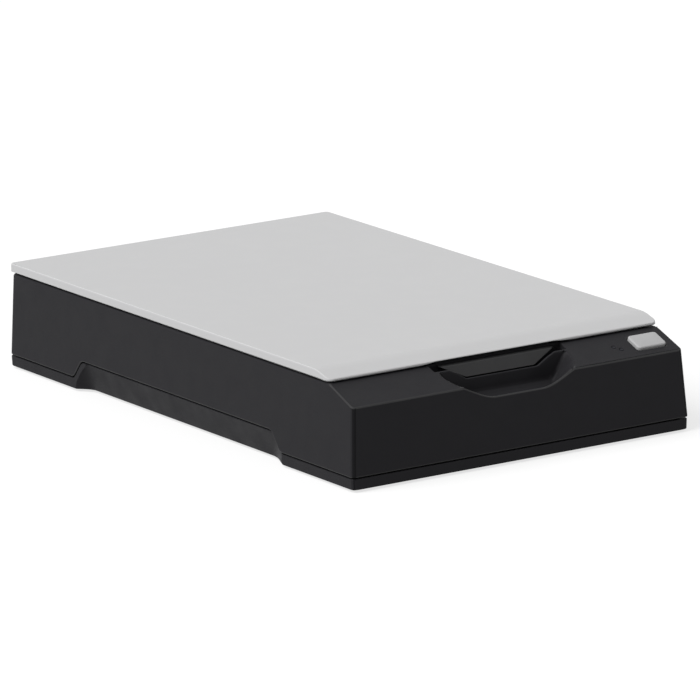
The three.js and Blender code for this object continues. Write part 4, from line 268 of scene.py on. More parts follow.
def bands(rings):
    """The points of the rings in one list, and the faces that join each ring to the next."""
    count = len(rings[0])
    faces = []
    for low in range(0, (len(rings) - 1) * count, count):
        for i in range(count):
            j = (i + 1) % count
            faces.append((low + i, low + j, low + count + j, low + count + i))
    return [p for ring in rings for p in ring], faces


def loft(rings, name="loft"):
    """A solid through rings of points, closed by a face at either end."""
    points, faces = bands(rings)
    count = len(rings[0])
    faces += [range(count), range(len(points) - count, len(points))]
    return solid(name, points, faces)


def block(x, y, z):
    """A box. x, y and z each give its two ends."""
    corners = [(x[0], y[0]), (x[1], y[0]), (x[1], y[1]), (x[0], y[1])]
    return loft([[(*c, level) for c in corners] for level in z])


def along_x(outline, x):
    """A prism of (y, z) points. x gives its two ends."""
    return loft([[(level, *p) for p in outline] for level in x])


def along_y(outline, y):
    """A prism of (x, z) points."""
    return loft([[(p[0], level, p[1]) for p in outline] for level in y])


def along_z(outline, z):
    """A prism of (x, y) points."""
    return loft([[(*p, level) for p in outline] for level in z])


def arc(centre, radius, start, stop, steps):
    angles = [start + (stop - start) * i / steps for i in range(steps + 1)]
    return [(centre[0] + radius * math.cos(a), centre[1] + radius * math.sin(a)) for a in angles]


def circle(centre, radius, sides=32):
    return arc(centre, radius, 0, 2 * math.pi * (1 - 1 / sides), sides - 1)


def rounded(x, y, radius, steps=10, rear=None):
    """A rectangle with round corners. rear is the radius at the back, if it differs."""
    places = ((x[1], y[1], 1, 1), (x[0], y[1], -1, 1), (x[0], y[0], -1, -1), (x[1], y[0], 1, -1))
    outline = []
    for turn, (cx, cy, sx, sy) in enumerate(places):
        r = rear if rear and sy > 0 else radius
        centre = (cx - sx * r, cy - sy * r)
        outline += arc(centre, r, turn * math.pi / 2, (turn + 1) * math.pi / 2, steps)
    return outline


def upright(radius, x, y, z, sides=32):
    """A cylinder that stands at (x, y) between the two heights of z."""
    return along_z(circle((x, y), radius, sides), z)


def on_strip(obj):
    """Takes a solid from the origin to the scan button, square to the sloped strip."""
    place = Matrix.Translation(BUTTON) @ Matrix.Rotation(STRIP_ANGLE, 4, "X")
    obj.data.transform(place)
    return obj


def baked(obj):
    """The object's mesh with its modifiers applied."""
    graph = bpy.context.evaluated_depsgraph_get()
    return bpy.data.meshes.new_from_object(obj.evaluated_get(graph), depsgraph=graph)


def combine(obj, tools, operation):
    """obj with each tool joined, cut away or kept in common. The tools are used up."""
    for tool in tools:
        step = obj.modifiers.new("step", "BOOLEAN")
        step.operation = operation
        step.solver = "EXACT"
        step.object = tool
        obj.data = baked(obj)
        obj.modifiers.clear()
        bpy.data.objects.remove(tool)
    return obj


def clean(mesh):
    """Joins split points and merges flat neighbours, so that edges can be rounded."""
    gap, flat = 0.002, math.radians(0.3)
    made = bmesh.new()
    made.from_mesh(mesh)
    bmesh.ops.remove_doubles(made, verts=made.verts, dist=gap)
    bmesh.ops.dissolve_degenerate(made, edges=made.edges, dist=gap)
    bmesh.ops.dissolve_limit(made, angle_limit=flat, verts=made.verts, edges=made.edges)
    bmesh.ops.recalc_face_normals(made, faces=made.faces)
    for face in made.faces:
        face.smooth = True
    made.to_mesh(mesh)
    made.free()


def finished(
    obj, name, slot, body, replaced, bevel=0.4, segments=3, edge=None, no_painted_highlight=None, shade=None
):
    """Rounds the edges of a solid in mm, scales it to metres and puts it in the scene in place of
    the nodes it replaces.
    Without a body it rides on nothing yet. edge is the material of the rounded edges, a lighter
    colour that paints a highlight along them, of which those whose centre passes dull keep the
    piece's own material. shade is a test and a darker material that paints shade: faces whose
    centre passes the test get that material."""
    clean(obj.data)
    if bevel:
        rounding = obj.modifiers.new("rounding", "BEVEL")
        rounding.width = bevel
        rounding.segments = segments
        rounding.limit_method = "ANGLE"
        rounding.angle_limit = math.radians(30)
        rounding.use_clamp_overlap = False
        rounding.miter_outer = "MITER_ARC"
        if edge:
            rounding.material = 1
    weighting = obj.modifiers.new("weighting", "WEIGHTED_NORMAL")
    weighting.weight = 100
    weighting.mode = "FACE_AREA"
    if edge:
        obj.data.materials.clear()
        obj.data.materials.append(materials[slot])
        obj.data.materials.append(materials[edge])
    mesh = baked(obj)
    bpy.data.objects.remove(obj)
    if not edge:
        mesh.materials.clear()
        mesh.materials.append(materials[slot])
    if shade:
        mesh.materials.append(materials[shade[1]])
    for face in mesh.polygons:
        if no_painted_highlight and face.material_index == 1 and no_painted_highlight(face.center):
            face.material_index = 0
        if shade and shade[0](face.center):
            face.material_index = len(mesh.materials) - 1
    mesh.transform(Matrix.Scale(MM, 4))
    mesh.name = name
    piece = bpy.data.objects.new(name, mesh)
    bpy.context.scene.collection.objects.link(piece)
    if body:
        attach(piece, body)
    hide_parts(*replaced)
    return piece


def from_cad(node):
    """A CAD node's mesh as a loose solid in mm."""
    mesh = nodes[node].data.copy()
    mesh.transform(Matrix.Scale(1 / MM, 4))
    obj = bpy.data.objects.new(node + "_copy", mesh)
    bpy.context.scene.collection.objects.link(obj)
    return obj


# ---------------------------------------------------------------- upper casing
def casing_ring(z, inset):
    """The casing's outline at height z, set in by inset. Its walls lean in towards the top."""
    share = (z - PARTING_Z) / (TOP_Z - PARTING_Z)
    half = HALF_WIDTH - SIDE_DRAFT * share - inset
    front = FRONT_Y + FRONT_DRAFT * share + inset
    rear = REAR_Y - REAR_DRAFT * share - inset
    radius, rear_radius = max(CORNER_RADIUS - inset, 0.6), max(REAR_CORNER - inset, 0.6)
    return [(*p, z) for p in rounded((-half, half), (front, rear), radius, rear=rear_radius)]


def edge_without_painted_highlight(c):
    """Whether a rounded edge goes without the painted highlight and the slight gloss of the edge
    material: in the scoop, and around the lenses.
    """
    in_scoop = abs(c.x) < 31 and -114.2 < c.y < -98
    at_lenses = 40 < c.x < 53.5 and -113 < c.y < -101.5
    return c.z > 20 and (in_scoop or at_lenses)


def front_corner_painted_shade(c):
    """Whether a face lies on the forward part of a front corner, where a darker colour paints
    shade.
    """
    share = max((c.z - PARTING_Z) / (TOP_Z - PARTING_Z), 0.0)
    across = abs(c.x) - (HALF_WIDTH - SIDE_DRAFT * share - CORNER_RADIUS)
    ahead = FRONT_Y + FRONT_DRAFT * share + CORNER_RADIUS - c.y
    return across > 0.05 and ahead > 0.6 and ahead > across * 0.8 and c.z < STRIP_Z - 0.3


def strip_height(y):
    """The height of the sloped control strip at y."""
    return STRIP_Z + (y - STRIP_Y) * math.tan(STRIP_ANGLE)


def above_strip(drop):
    """What lies over the sloped strip, with soft bends at the break and the crest."""
    low, high, reach = STRIP_Y - 9, 45, 1.2
    crest_slope = math.atan2(TOP_Z - BREAK_Z, CREST_Y - BREAK_Y)
    line = [(low, strip_height(low) - drop)]
    for (y, z), before, after in (
        ((BREAK_Y, BREAK_Z), STRIP_ANGLE, crest_slope),
        ((CREST_Y, TOP_Z), crest_slope, 0.0),
    ):
        a = (y - reach * math.cos(before), z - reach * math.sin(before))
        b = (y + reach * math.cos(after), z + reach * math.sin(after))
        for i in range(6):
            t = i / 5
            line.append(
                (
                    (1 - t) ** 2 * a[0] + 2 * t * (1 - t) * y + t * t * b[0],
                    (1 - t) ** 2 * a[1] + 2 * t * (1 - t) * z + t * t * b[1] - drop,
                )
            )
    end = line[-1][0]
    line += [(end, TOP_Z - drop), (end, high), (low, high)]
    outline = [p for i, p in enumerate(line) if i == 0 or p != line[i - 1]]
    return along_x(outline, BEYOND)


def casing_body(inset, bottom, drop):
    """The casing as a full solid, or what lies inside its walls when inset and drop are given."""
    rings = [casing_ring(bottom, inset)]
    if inset:
        rings.append(casing_ring(TOP_Z - drop, inset))
    else:
        start = TOP_Z - EDGE_DROP - EDGE_ROUND
        for i in range(7):
            a = i / 6 * math.pi / 2
            rise, inwards = EDGE_ROUND * math.sin(a), EDGE_ROUND * (1 - math.cos(a))
            rings.append(casing_ring(start + rise, inwards))
        rings.append(casing_ring(TOP_Z, EDGE_ROUND + 2.4))
    return combine(loft(rings), [above_strip(drop)], "DIFFERENCE")


def smooth_step(t):
    """0 to 1 with a soft start and end."""
    t = min(max(t, 0.0), 1.0)
    return t * t * (3 - 2 * t)


def scoop():
    """The finger scoop: an S-shaped edge in the front face, hollowed like a bowl up to its rear
    wall. low is the floor's height, and the sides rise from inner to outer."""
    columns = [-SCOOP_HALF + 2 * SCOOP_HALF * i / 84 for i in range(85)]
    before_lip, above, bowl_length = -125, 48, 5
    places = [before_lip, -115.8, SCOOP_LIP_Y, -113.4, -112, -110.5]
    places += [-109.4, -108.4, -107.5, -106.7, -106, -105.4, -105, SCOOP_REAR]
    rings = []
    for y in places:
        back = min(max((y - SCOOP_LIP_Y) / (SCOOP_REAR - SCOOP_LIP_Y), 0), 1)
        along_bowl = min(max((y - SCOOP_REAR) / bowl_length + 1, 0), 1)
        bowl = 1 - math.sqrt(1 - along_bowl**2)
        low = SCOOP_LIP_Z - 2.6 * min(2 * back, 1) + 3.6 * bowl
        inner = SCOOP_LIP_HALF + 12.6 * back**0.7 - 3.0 * bowl
        outer = SCOOP_HALF - 1.0 * back
        high = max(strip_height(y), strip_height(-115.8)) + 1.6
        rises = [smooth_step((abs(x) - inner) / (outer - inner)) for x in columns]
        ring = [(x, y, low + (high - low) * rise) for x, rise in zip(columns, rises)]
        rings.append([*ring, (SCOOP_HALF, y, above), (-SCOOP_HALF, y, above)])
    return loft(rings)


def handle_slot():
    """The slot behind the scoop that the lid's handle drops into, and its cut-out through the
    scoop's rear wall."""
    right = [(15.2, 30.5), (19.9, 33.3), (23.6, 35.0), (24.9, 48)]
    cut = along_y(right + [(-x, z) for x, z in reversed(right)], (SCOOP_REAR - 0.6, -99.0))
    return combine(cut, [block((-28.4, 28.4), (SCOOP_REAR + 1.0, -98.6), (25, 48))], "UNION")


def scoop_liner():
    """The block behind the front wall that the scoop and the slot are cut into."""
    return block((-32.8, 32.8), (-125, -97.0), (18.2, 40))


def well(side, grow):
    """The well of a hinge post, or the solid around it when grow is its wall."""
    half = EAR_HALF_WIDTH + FIT_GAP + CHEEK_THICKNESS + FIT_GAP + grow
    front = HINGE_Y + EAR_RADIUS - CHEEK_LENGTH - FIT_GAP - grow
    floor = HINGE_Z - NOTCH_BELOW_HINGE - POST_HEIGHT - SEAT_GAP - (WELL_FLOOR if grow else 0)
    top = TOP_Z + (-LID_GAP if grow else OVERRUN)
    x = side * HINGE_X
    return block((x - half, x + half), (front, REAR_INNER + grow), (floor, top))


def parting_profile(shift):
    """The line where the two shells meet, low at the ends and high over the grip recesses."""
    corners = [
        (STEP_FRONT, PARTING_Z + shift),
        (STEP_FRONT + STEP_FRONT_RUN, GRIP_PARTING_Z + shift),
        (STEP_REAR - STEP_REAR_RUN, GRIP_PARTING_Z + shift),
        (STEP_REAR, PARTING_Z + shift),
    ]
    line = [Vector((FRONT_Y - OVERRUN, PARTING_Z + shift))]
    line += [Vector(c) for c in corners] + [Vector((REAR_Y + OVERRUN, PARTING_Z + shift))]
    outline = [tuple(line[0])]
    for before, corner, after in zip(line, line[1:], line[2:]):
        a = corner + (before - corner).normalized() * STEP_BEND
        b = corner + (after - corner).normalized() * STEP_BEND
        for i in range(6):
            u = i / 5
            outline.append(tuple((1 - u) ** 2 * a + 2 * u * (1 - u) * corner + u * u * b))
    outline.append(tuple(line[-1]))
    return outline


def below_parting(shift):
    """Everything under the parting line."""
    under = [(REAR_Y + OVERRUN, -5), (FRONT_Y - OVERRUN, -5)]
    return along_x(parting_profile(shift) + under, BEYOND)


def around_window(margin, z):
    """A block over the platen window, wider by the margin on every side."""
    x = (-WINDOW_HALF - margin, WINDOW_HALF + margin)
    return block(x, (WINDOW_FRONT - margin, WINDOW_REAR + margin), z)


def full_casing():
    return casing_body(0, PARTING_Z - 1, 0)


def upper_casing():
    """The shell with its inner blocks and columns joined on, and then its openings cut."""
    shell = combine(full_casing(), [casing_body(WALL, PARTING_Z - 6, WALL)], "DIFFERENCE")
    in_roof = TOP_Z - WALL + 0.1
    extras = [
        scoop_liner(),
        well(-1, WELL_WALL),
        well(1, WELL_WALL),
        around_window(GLASS_MARGIN + GLASS_RIM, (GLASS_BOTTOM, in_roof)),
    ]
    extras += [upright(COLUMN_RADIUS, x, y, (COLUMN_FOOT, in_roof)) for x, y in SCREWS]
    extras.append(on_strip(upright(BOSS_RADIUS, -BOSS_LEFT, 0, (-7.2, -1.1))))
    extras = [combine(piece, [full_casing()], "INTERSECT") for piece in extras]
    shell = combine(shell, extras, "UNION")
    window = rounded((-WINDOW_HALF, WINDOW_HALF), (WINDOW_FRONT, WINDOW_REAR), WINDOW_RADIUS)
    tools = [
        below_parting(0.2),
        scoop(),
        handle_slot(),
        along_z(window, (25, 45)),
        around_window(GLASS_MARGIN + FIT_GAP, (25, TOP_Z - WINDOW_LIP)),
        on_strip(along_z(rounded((-6.95, 5.95), (-4.6, 4.1), 1.5, 8), (-5, 5))),
    ]
    for side in (-1, 1):
        tools.append(well(side, 0))
        x = side * HINGE_X
        rear_notch = (REAR_INNER - WALL, REAR_Y + OVERRUN)
        tools.append(block((x - 7.2, x + 7.2), rear_notch, (HINGE_Z - 2.9, 45)))
    tools += [upright(1.3, x, y, (0, 18.7), 16) for x, y in SCREWS]
    tools += [on_strip(upright(0.8, x, y, (-5, 5), 24)) for x, y in LENSES]
    tools.append(on_strip(upright(0.9, -BOSS_LEFT, 0, (-12, -3.3), 16)))
    rear_wall = (REAR_INNER - 2.5, REAR_Y + OVERRUN)
    usb_opening = block((-22.45, -13.55), rear_wall, (8.6, 13.8))
    power_opening = along_y(circle((-3.0, 14.8), 3.7), rear_wall)
    return combine(shell, [*tools, usb_opening, power_opening], "DIFFERENCE")


# Rounded edges get a lighter colour that paints a highlight, except in the scoop and around the
# lenses; the forward part of each front corner gets a darker colour that paints shade.
finished(
    upper_casing(),
    "upper_casing_moulding",
    "casing_black",
    "base",
    ["upper_casing"],
    bevel=0.45,
    edge="casing_edge_painted_highlight",
    no_painted_highlight=edge_without_painted_highlight,
    shade=(front_corner_painted_shade, "casing_corner_painted_shade"),
)


# ---------------------------------------------------------------- lid cover
def lid_path(inset):
    """Points along the right half of the lid's outline, from its front to its back."""
    half, front, rear = LID_HALF - inset, LID_FRONT + inset, REAR_Y - inset
    radius = max(2.6 - inset, 0.8)
    rear_radius = max(1.9 - inset, 0.5)
    path = arc((half - radius, front + radius), radius, -math.pi / 2, 0, 12)
    ahead = [-97 + 0.7 * i for i in range(11)] + [-89.3, -60, 0, 60, 110]
    path += [(half, y) for y in ahead]
    path += arc((half - rear_radius, rear - rear_radius), rear_radius, 0, math.pi / 2, 12)
    return path


def nose_drop(y):
    """How far the lid's top has come down at y: a soft bend, then an even slope to the front."""
    along = max(0.0, LID_FRONT + NOSE_LENGTH - y)
    if along < NOSE_BEND:
        return NOSE_SLOPE * along**2 / (2 * NOSE_BEND)
    return NOSE_SLOPE * (along - NOSE_BEND / 2)


def lid_ring(inset, level):
    """The lid's outline, set in by inset. level turns its lower and upper height into one."""
    ring = []
    for side in (1, -1):
        path = lid_path(inset)
        for x, y in path if side > 0 else reversed(path):
            top = LID_TOP - nose_drop(y)
            low = LID_BOTTOM - 0.07 * nose_drop(y)
            ring.append((side * x, y, level(low, top)))
    return ring


def lid_arch():
    """The shallow arch in the lid's lower front edge, over the handle."""
    half, rise, start = 34, 0.68, LID_BOTTOM - 0.17
    columns = range(-half, half + 1)
    outline = [(x, start + rise * smooth_step((32.5 - abs(x)) / 10)) for x in columns]
    return along_y(outline + [(half, 33), (-half, 33)], (LID_FRONT - 2, LID_FRONT + 6))


def lid_cover():
    """The bent plate with its rounded rims, hollowed for the frame and over the handle."""
    under, over, least = 0.15, 0.4, 0.25
    rings = []
    for i in range(4):
        a = i / 3 * math.pi / 2
        rise = under * (1 - math.cos(a))
        rings.append(lid_ring(under * (1 - math.sin(a)), lambda low, top, rise=rise: low + rise))
    for i in range(9):
        a = i / 8 * math.pi / 2
        fall = 1 - math.sin(a)
        rings.append(
            lid_ring(
                over * (1 - math.cos(a)),
                lambda low, top, fall=fall: top - min(over, top - low - least) * fall,
            )
        )
    points, faces = bands(rings)
    count = len(rings[0])
    for base in (0, len(points) - count):
        for i in range(count // 2 - 1):
            faces.append((base + i, base + i + 1, base + count - 2 - i, base + count - 1 - i))
    cover = solid("lid_cover_moulding", points, faces)
    half = LID_HALF - LID_RIM
    inside = rounded((-half, half), (LID_FRONT + LID_POCKET_FROM_FRONT, REAR_Y - LID_RIM), 1.7)
    pocket = along_z(inside, (30, LID_TOP - LID_SKIN))
    nose = block(
        (-NOSE_POCKET_HALF, NOSE_POCKET_HALF), (LID_FRONT + NOSE_RIM, LID_FRONT + 11.4), (30, 37.45)
    )
    return combine(cover, [pocket, nose, lid_arch()], "DIFFERENCE")


finished(lid_cover(), "lid_cover_moulding", "lid_grey", "lid", ["lid_cover"], bevel=0.2, segments=2)


# ---------------------------------------------------------------- scan button
def key_ring(inset, z):
    x, y = (-6.7 + inset, 5.7 - inset), (-4.35 + inset, 3.85 - inset)
    return [(*p, z) for p in rounded(x, y, max(1.35 - inset, 0.4), 8)]


def scan_key():
    """The cap with its rounded rim and slight crown, the flange that keeps it in, and its stem."""
    rings = [key_ring(0, -3.1), key_ring(0, 0.4)]
    for a in (0.26, 0.52, 0.79, 1.05, 1.31, 1.57):
        rings.append(key_ring(0.7 * (1 - math.cos(a)), 0.4 + 0.65 * math.sin(a)))
    rings += [key_ring(1.5, 1.11), key_ring(2.6, 1.17), key_ring(3.6, 1.195)]
    cap = loft(rings, "scan_key_cap")
    flange = along_z(rounded((-7, 7), (-4.95, 4.95), 2.2, 8), (-3.1, -2.3))
    stem = upright(1.2, 0, 0, (-4.8, -2.6), 24)
    return on_strip(combine(cap, [flange, stem], "UNION"))


finished(
    scan_key(), "scan_key_cap", "key_grey", "scan_key", ["scan_button"], bevel=0.15, segments=2
)


# ---------------------------------------------------------------- lower casing
def lower_side(z):
    """How far out the lower casing's side stands at height z."""
    at_parting = HALF_WIDTH - LOWER_SET_IN + FLUSH
    if z < PARTING_Z:
        return at_parting - LOWER_LEAN + LOWER_LEAN * (z - BOTTOM_Z) / (PARTING_Z - BOTTOM_Z)
    return at_parting - 0.42 * (z - PARTING_Z) / (GRIP_PARTING_Z - PARTING_Z)


def blended_least(a, b, reach):
    """The least of two values, with a soft change from one to the other."""
    share = min(max(0.5 + 0.5 * (b - a) / reach, 0.0), 1.0)
    return b * (1 - share) + a * share - reach * share * (1 - share)


def recess_depth(y, z):
    """The grip recess's depth, where its ends run softly into the sloping side."""
    foot = HALF_WIDTH - LOWER_SET_IN - LOWER_LEAN - RECESS_DEPTH
    top = lower_side(GRIP_PARTING_Z)
    from_side = lower_side(z) - (foot + (z - BOTTOM_Z) * (top - foot) / (GRIP_PARTING_Z - BOTTOM_Z))
    if y < 0:
        return blended_least((y + 71.2) * 0.43, from_side, 1.6)
    across, down = STEP_REAR_NORMAL
    from_step = (y - STEP_REAR) * across + (z - PARTING_Z) * down - 2.4
    from_end = blended_least((69.2 - y) * 0.95, from_step, 1.0)
    return blended_least(-blended_least(-from_end, 0.12, 0.6), from_side, 2.2)


def grip_recess(side):
    """What is cut away for the grip recess on one side."""
    heights = [-1 + 14.4 * i / 36 for i in range(37)]
    places = [-73.5 + 0.5 * i for i in range(31)] + [-50, -30, 0, 30, 50]
    places += [59 + 0.35 * i for i in range(36)]
    rings = []
    for y in places:
        ring = [(side * (lower_side(z) - recess_depth(y, z)), y, z) for z in heights]
        rings.append([*ring, (side * 80, y, heights[-1]), (side * 80, y, heights[0])])
    return loft(rings)


def recess_fill(side):
    """Plain wall over the source's grip recess, to be cut again with soft ends."""
    outline = [(lower_side(z), z) for z in (BOTTOM_Z, PARTING_Z, GRIP_PARTING_Z)]
    outline = [(67.2, BOTTOM_Z), *outline, (69.3, GRIP_PARTING_Z), (69.0, 6)]
    wall = along_y([(side * x, z) for x, z in outline], (-73.1, 71.5))
    return combine(wall, [below_parting(-FIT_GAP)], "INTERSECT")


def lower_casing():
    """The source's shell moved out almost flush with the upper casing, with its steps and grip
    recesses cut again in the softer forms of the photo."""
    shell = from_cad("lower_casing")
    source_round, source_end = LOWER_CORNER, REAR_Y - LOWER_SET_IN
    for point in shell.data.vertices:
        x, y, z = point.co
        side = lower_side(z) - FLUSH
        across, along = abs(x) - (side - source_round), abs(y) - (source_end - source_round)
        reach = math.hypot(across, along)
        if min(across, along) > -0.02 and abs(reach - source_round) < 0.1:
            radius = CORNER_RADIUS if y < 0 else source_round
            point.co.x = math.copysign(side + FLUSH - radius + radius * across / reach, x)
            point.co.y = math.copysign(source_end + FLUSH - radius + radius * along / reach, y)
        elif abs(x) > side - 0.25:
            point.co.x += math.copysign(FLUSH, x)
        elif abs(y) > source_end - 0.25:
            point.co.y += math.copysign(FLUSH, y)
    line = parting_profile(-FIT_GAP)
    for side in (-1, 1):
        combine(shell, [recess_fill(side)], "UNION")
        for low, high in ((-76, -58), (60, 75)):
            over = [p for p in line if low < p[0] < high]
            over = [(low, over[0][1]), *over, (high, over[-1][1]), (high, 20), (low, 20)]
            combine(shell, [along_x(over, (side * 68.0, side * 80))], "DIFFERENCE")
        combine(shell, [grip_recess(side)], "DIFFERENCE")
    return shell


# The forward part of each front corner gets a darker colour that paints shade.
finished(
    lower_casing(),
    "lower_casing_moulding",
    "casing_black",
    "base",
    ["lower_casing"],
    bevel=0.35,
    shade=(front_corner_painted_shade, "casing_corner_painted_shade"),
)


# ---------------------------------------------------------------- the source's pieces, rounded
# By the start of a node's name: its slot, the width of its rounded edges in mm, and their segments
CARRIED = {
    "foot": ("foot_rubber", 0.5, 3),
    "casing_screw": ("screw_steel", 0.25, 2),
    "glass_gasket": ("foot_rubber", 0.12, 2),
    "calibration_strip": ("pad_white", 0.1, 2),
    "button_board_screw": ("screw_steel", 0.2, 2),
    "button_board": ("board_green", 0.12, 2),
    "tact_switch": ("inner_plastic", 0.2, 2),
    "guide_shaft": ("screw_steel", 0.3, 2),
    "shaft_saddle": ("inner_plastic", 0.3, 2),
    "drive_belt": ("belt_rubber", 0.1, 2),
    "drive_axle": ("screw_steel", 0.2, 2),
    "reduction_axle": ("screw_steel", 0.2, 2),
    "idler_axle": ("screw_steel", 0.2, 2),
    "idler_bracket": ("bracket_steel", 0.2, 2),
    "motor_body": ("bracket_steel", 0.35, 3),
    "motor_bracket": ("bracket_steel", 0.2, 2),
    "motor_screw": ("screw_steel", 0.15, 2),
    "motor_pinion": ("pinion_brass", 0.05, 2),
    "main_board": ("board_green", 0.15, 2),
    "usb_socket": ("bracket_steel", 0.12, 2),
    "power_socket": ("inner_plastic", 0.3, 2),
    "controller_chip": ("inner_plastic", 0.15, 2),
    "ribbon_connector": ("gear_white", 0.12, 2),
    "hinge_post": ("frame_black", 0.12, 2),
    "hinge_pin": ("screw_steel", 0.2, 2),
    "sensor_carriage": ("inner_plastic", 0.25, 2),
    "sensor_housing": ("inner_plastic", 0.3, 2),
    "rod_lens_array": ("lens_blue", 0.1, 2),
    "light_guide": ("gear_white", 0.2, 2),
    "sensor_slider": ("gear_white", 0.25, 2),
    "drive_pulley": ("gear_white", 0.12, 2),
    "idler_pulley": ("gear_white", 0.12, 2),
    "reduction_gear": ("gear_white", 0.1, 2),
    "power_lens": ("lens_blue", 0.04, 1),
    "status_lens": ("lens_blue", 0.04, 1),
    "platen_glass": ("platen_glass", 0.25, 2),
    "sensor_window": ("platen_glass", 0.1, 2),
}


def lid_frame():
    """The frame with the handle. Over the handle's face it stands back under the lid."""
    frame_solid = from_cad("lid_frame")
    face = [(-103, 35.2), (-101.5, 35.35), (-98.6, 35.6), (-98.2, 36.3), (-97.8, 38), (-103, 38)]
    return combine(frame_solid, [along_x(face, (-26, 26))], "DIFFERENCE")


# Rounded edges over the handle go without the frame's painted highlight.
def over_handle(c):
    return abs(c.x) < 26 and c.z > 34.9


def behind_handle(c):
    """Whether a face lies in the shade between the handle and the lid, which a darker colour
    paints.
    """
    return abs(c.x) < 26 and -101.0 < c.y < -97.0 and c.z > 35.25


# Rounded edges get a lighter colour that paints a highlight, except over the handle; the band
# between the handle and the lid gets a darker colour that paints shade.
finished(
    lid_frame(),
    "lid_frame_piece",
    "frame_black",
    "lid",
    ["lid_frame"],
    edge="frame_edge_painted_highlight",
    no_painted_highlight=over_handle,
    shade=(behind_handle, "frame_painted_shade"),
)
OWN_MESH = {"upper_casing", "lower_casing", "lid_cover", "lid_frame", "scan_button"}
OWN_MESH |= {"pad_foam", "pad_sheet", "button_spring", "sensor_spring_left"}
OWN_MESH |= {"sensor_spring_right", "tension_spring", "ribbon_cable"}
for node, body in body_of.items():
    if node in OWN_MESH:
        continue
    kind = max((k for k in CARRIED if node.startswith(k)), key=len)
    slot, bevel, segments = CARRIED[kind]
    finished(from_cad(node), node + "_piece", slot, body, [node], bevel=bevel, segments=segments)


# ---------------------------------------------------------------- springs and ribbon
def coil(foot, axis, length, radius, wire, turns):
    """A spring of round wire from its foot along axis. Its end turns lie close together. wire is
    the wire's own radius, and radius that of the whole spring."""
    axis = Vector(axis).normalized()
    across = axis.orthogonal().normalized()
    beside = axis.cross(across)
    middle = Vector(foot)
    steps, sides = int(turns * 20), 8
    travel = length - 2 * wire
    rings = []
    for i in range(steps + 1):
        share = i / steps
        angle = share * turns * 2 * math.pi
        rise = wire + travel * (0.25 * share + 0.75 * smooth_step(share))
        outward = across * math.cos(angle) + beside * math.sin(angle)
        centre = middle + axis * rise + outward * (radius - wire)
        ring = []
        for k in range(sides):
            a = 2 * math.pi * k / sides
            sideways, upwards = wire * math.cos(a), wire * math.sin(a)
            ring.append(tuple(centre + outward * sideways + axis * upwards))
        rings.append(ring)
    return loft(rings)


KEY_AXIS = (0, -math.sin(STRIP_ANGLE), math.cos(STRIP_ANGLE))
key_foot = (61.1, -105.1, 26.28)
wound = coil(key_foot, KEY_AXIS, 3.99, 4.3, 0.3, 3.5)
key_spring = finished(
    wound, "button_spring_coil", "screw_steel", "base", ["button_spring"], bevel=0
)
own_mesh(key_spring)
for side, x in (("left", -42.0), ("right", 42.0)):
    foot = (x, -87.08, 17.94)
    name = "sensor_spring_" + side
    wound = coil(foot, (0, 0, 1), 4.6, 2.95, 0.3, 4.5)
    spring = finished(wound, name + "_coil", "screw_steel", body_of[name], [name], bevel=0)
    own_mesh(spring)
wound = coil((34.0, -95.9, 6.8), (0, 1, 0), 11.0, 2.4, 0.35, 11)
finished(wound, "tension_spring_coil", "screw_steel", "base", ["tension_spring"], bevel=0)
ribbon = finished(
    from_cad("ribbon_cable"),
    "ribbon_cable_piece",
    "ribbon_white",
    None,
    ["ribbon_cable"],
    bevel=0.05,
    segments=1,
)
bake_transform(ribbon)


# ---------------------------------------------------------------- document pad
def pad_outline(inset):
    x, y = (-PAD_HALF + inset, PAD_HALF - inset), (PAD_FRONT + inset, PAD_REAR - inset)
    return rounded(x, y, max(PAD_RADIUS - inset, 0.8), 8)


def pad_ring(inset, z):
    return [(*p, z) for p in pad_outline(inset)]


def foam():
    """The foam under the lid. Its edge swells a little and turns in softly at the bottom."""
    rings = [pad_ring(0.15, 36.8), pad_ring(0, 36.5), pad_ring(0.22, 36.0), pad_ring(0.3, 35.7)]
    for a in (0.2, 0.5, 0.8, 1.1, 1.4, 1.57):
        rings.append(pad_ring(0.8 * (1 - math.cos(a)), 35.6 - 0.68 * math.sin(a)))
    rings += [pad_ring(4, 34.9), pad_ring(12, 34.9)]
    return loft(rings, "foam_pad")


pad = finished(foam(), "foam_pad", "pad_foam", "lid", ["pad_foam"], bevel=0)
sheet = along_z(pad_outline(0), (34.56, 34.84))
finished(sheet, "white_backing_sheet", "pad_white", "lid", ["pad_sheet"], bevel=0.08, segments=2)


# ---------------------------------------------------------------- floor, light and camera
def glow_level(tree, lit, seen):
    """A strength that is seen for what the camera, gloss and glass see, and lit for other light."""
    path = tree.nodes.new("ShaderNodeLightPath")
    either = None
    for ray in ("Is Camera Ray", "Is Glossy Ray", "Is Transmission Ray"):
        if either is None:
            either = path.outputs[ray]
            continue
        most = tree.nodes.new("ShaderNodeMath")
        most.operation = "MAXIMUM"
        tree.links.new(either, most.inputs[0])
        tree.links.new(path.outputs[ray], most.inputs[1])
        either = most.outputs["Value"]
    level = tree.nodes.new("ShaderNodeMapRange")
    level.inputs["To Min"].default_value = lit
    level.inputs["To Max"].default_value = seen
    tree.links.new(either, level.inputs["Value"])
    return level.outputs["Result"]


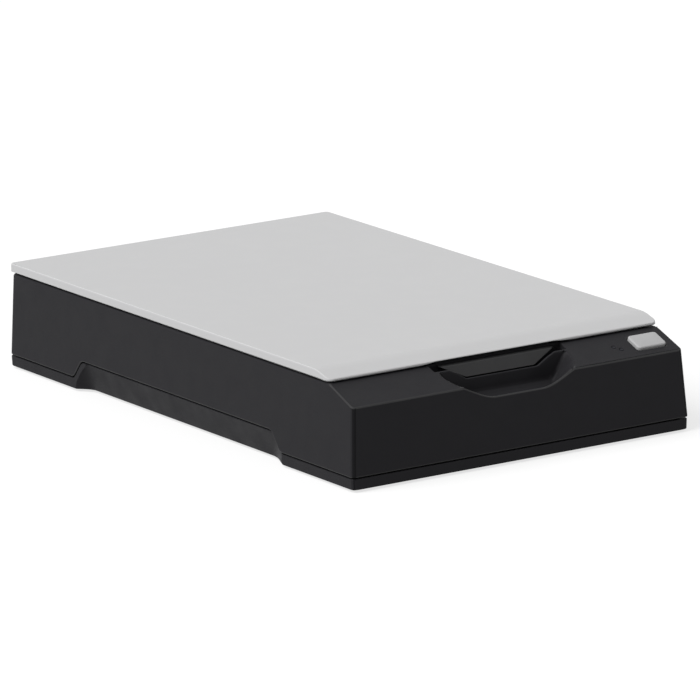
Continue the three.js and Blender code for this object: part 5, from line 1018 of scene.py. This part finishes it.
def make_floor():
    """A pale floor that keeps the object's shadow and runs into the white behind it."""
    half = 4.0
    points = [(-half, -half, 0), (half, -half, 0), (half, half, 0), (-half, half, 0)]
    floor = solid("floor", points, [(0, 1, 2, 3)])
    material = bpy.data.materials.new("floor")
    material.use_nodes = True
    tree = material.node_tree
    tree.nodes.clear()
    output = tree.nodes.new("ShaderNodeOutputMaterial")
    diffuse = tree.nodes.new("ShaderNodeBsdfDiffuse")
    diffuse.inputs["Color"].default_value = (0.3, 0.3, 0.3, 1)
    glow = tree.nodes.new("ShaderNodeEmission")
    glow.inputs["Color"].default_value = (1, 1, 1, 1)
    tree.links.new(glow_level(tree, 0.12, 0.72), glow.inputs["Strength"])
    both = tree.nodes.new("ShaderNodeAddShader")
    tree.links.new(diffuse.outputs["BSDF"], both.inputs[0])
    tree.links.new(glow.outputs["Emission"], both.inputs[1])
    tree.links.new(both.outputs["Shader"], output.inputs["Surface"])
    floor.data.materials.append(material)


def make_world():
    """An even studio sky, white where it is seen."""
    world = bpy.data.worlds.new("studio")
    bpy.context.scene.world = world
    world.use_nodes = True
    tree = world.node_tree
    tree.nodes.clear()
    output = tree.nodes.new("ShaderNodeOutputWorld")
    sky = tree.nodes.new("ShaderNodeBackground")
    sky.inputs["Color"].default_value = (1, 1, 1, 1)
    tree.links.new(glow_level(tree, 0.42, 1.0), sky.inputs["Strength"])
    tree.links.new(sky.outputs["Background"], output.inputs["Surface"])


def make_key(direction, strength, angle):
    """A broad soft lamp that shines from this direction."""
    lamp = bpy.data.lights.new("key", "SUN")
    lamp.energy = strength
    lamp.angle = math.radians(angle)
    obj = bpy.data.objects.new("key", lamp)
    obj.rotation_mode = "QUATERNION"
    obj.rotation_quaternion = Vector(direction).to_track_quat("Z", "Y")
    bpy.context.scene.collection.objects.link(obj)


def make_camera():
    """The camera that was fitted to the photo's edges, with its focal length in pixels."""
    yaw, pitch, roll = 0.578157714, 0.238821670, -0.019510188
    place = (-1.462969, -2.247876, 0.671321)
    focal, pixels = 7531.17, 700
    level = math.cos(pitch)
    ahead = Vector((math.sin(yaw) * level, math.cos(yaw) * level, -math.sin(pitch)))
    right = Vector((math.cos(yaw), -math.sin(yaw), 0))
    above = right.cross(ahead)
    turned_right = math.cos(roll) * right + math.sin(roll) * above
    turned_above = -math.sin(roll) * right + math.cos(roll) * above
    data = bpy.data.cameras.new("camera")
    data.sensor_width = 36
    data.lens = focal * data.sensor_width / pixels
    data.clip_start, data.clip_end = 0.05, 50
    camera = bpy.data.objects.new("camera", data)
    turn = Matrix((turned_right, turned_above, -ahead)).transposed()
    camera.matrix_world = Matrix.Translation(place) @ turn.to_4x4()
    bpy.context.scene.collection.objects.link(camera)
    bpy.context.scene.camera = camera


make_floor()
make_world()
make_key((-0.70, 0.0, 0.72), 2.9, 44)
make_camera()
bpy.context.scene.view_settings.view_transform = "Standard"
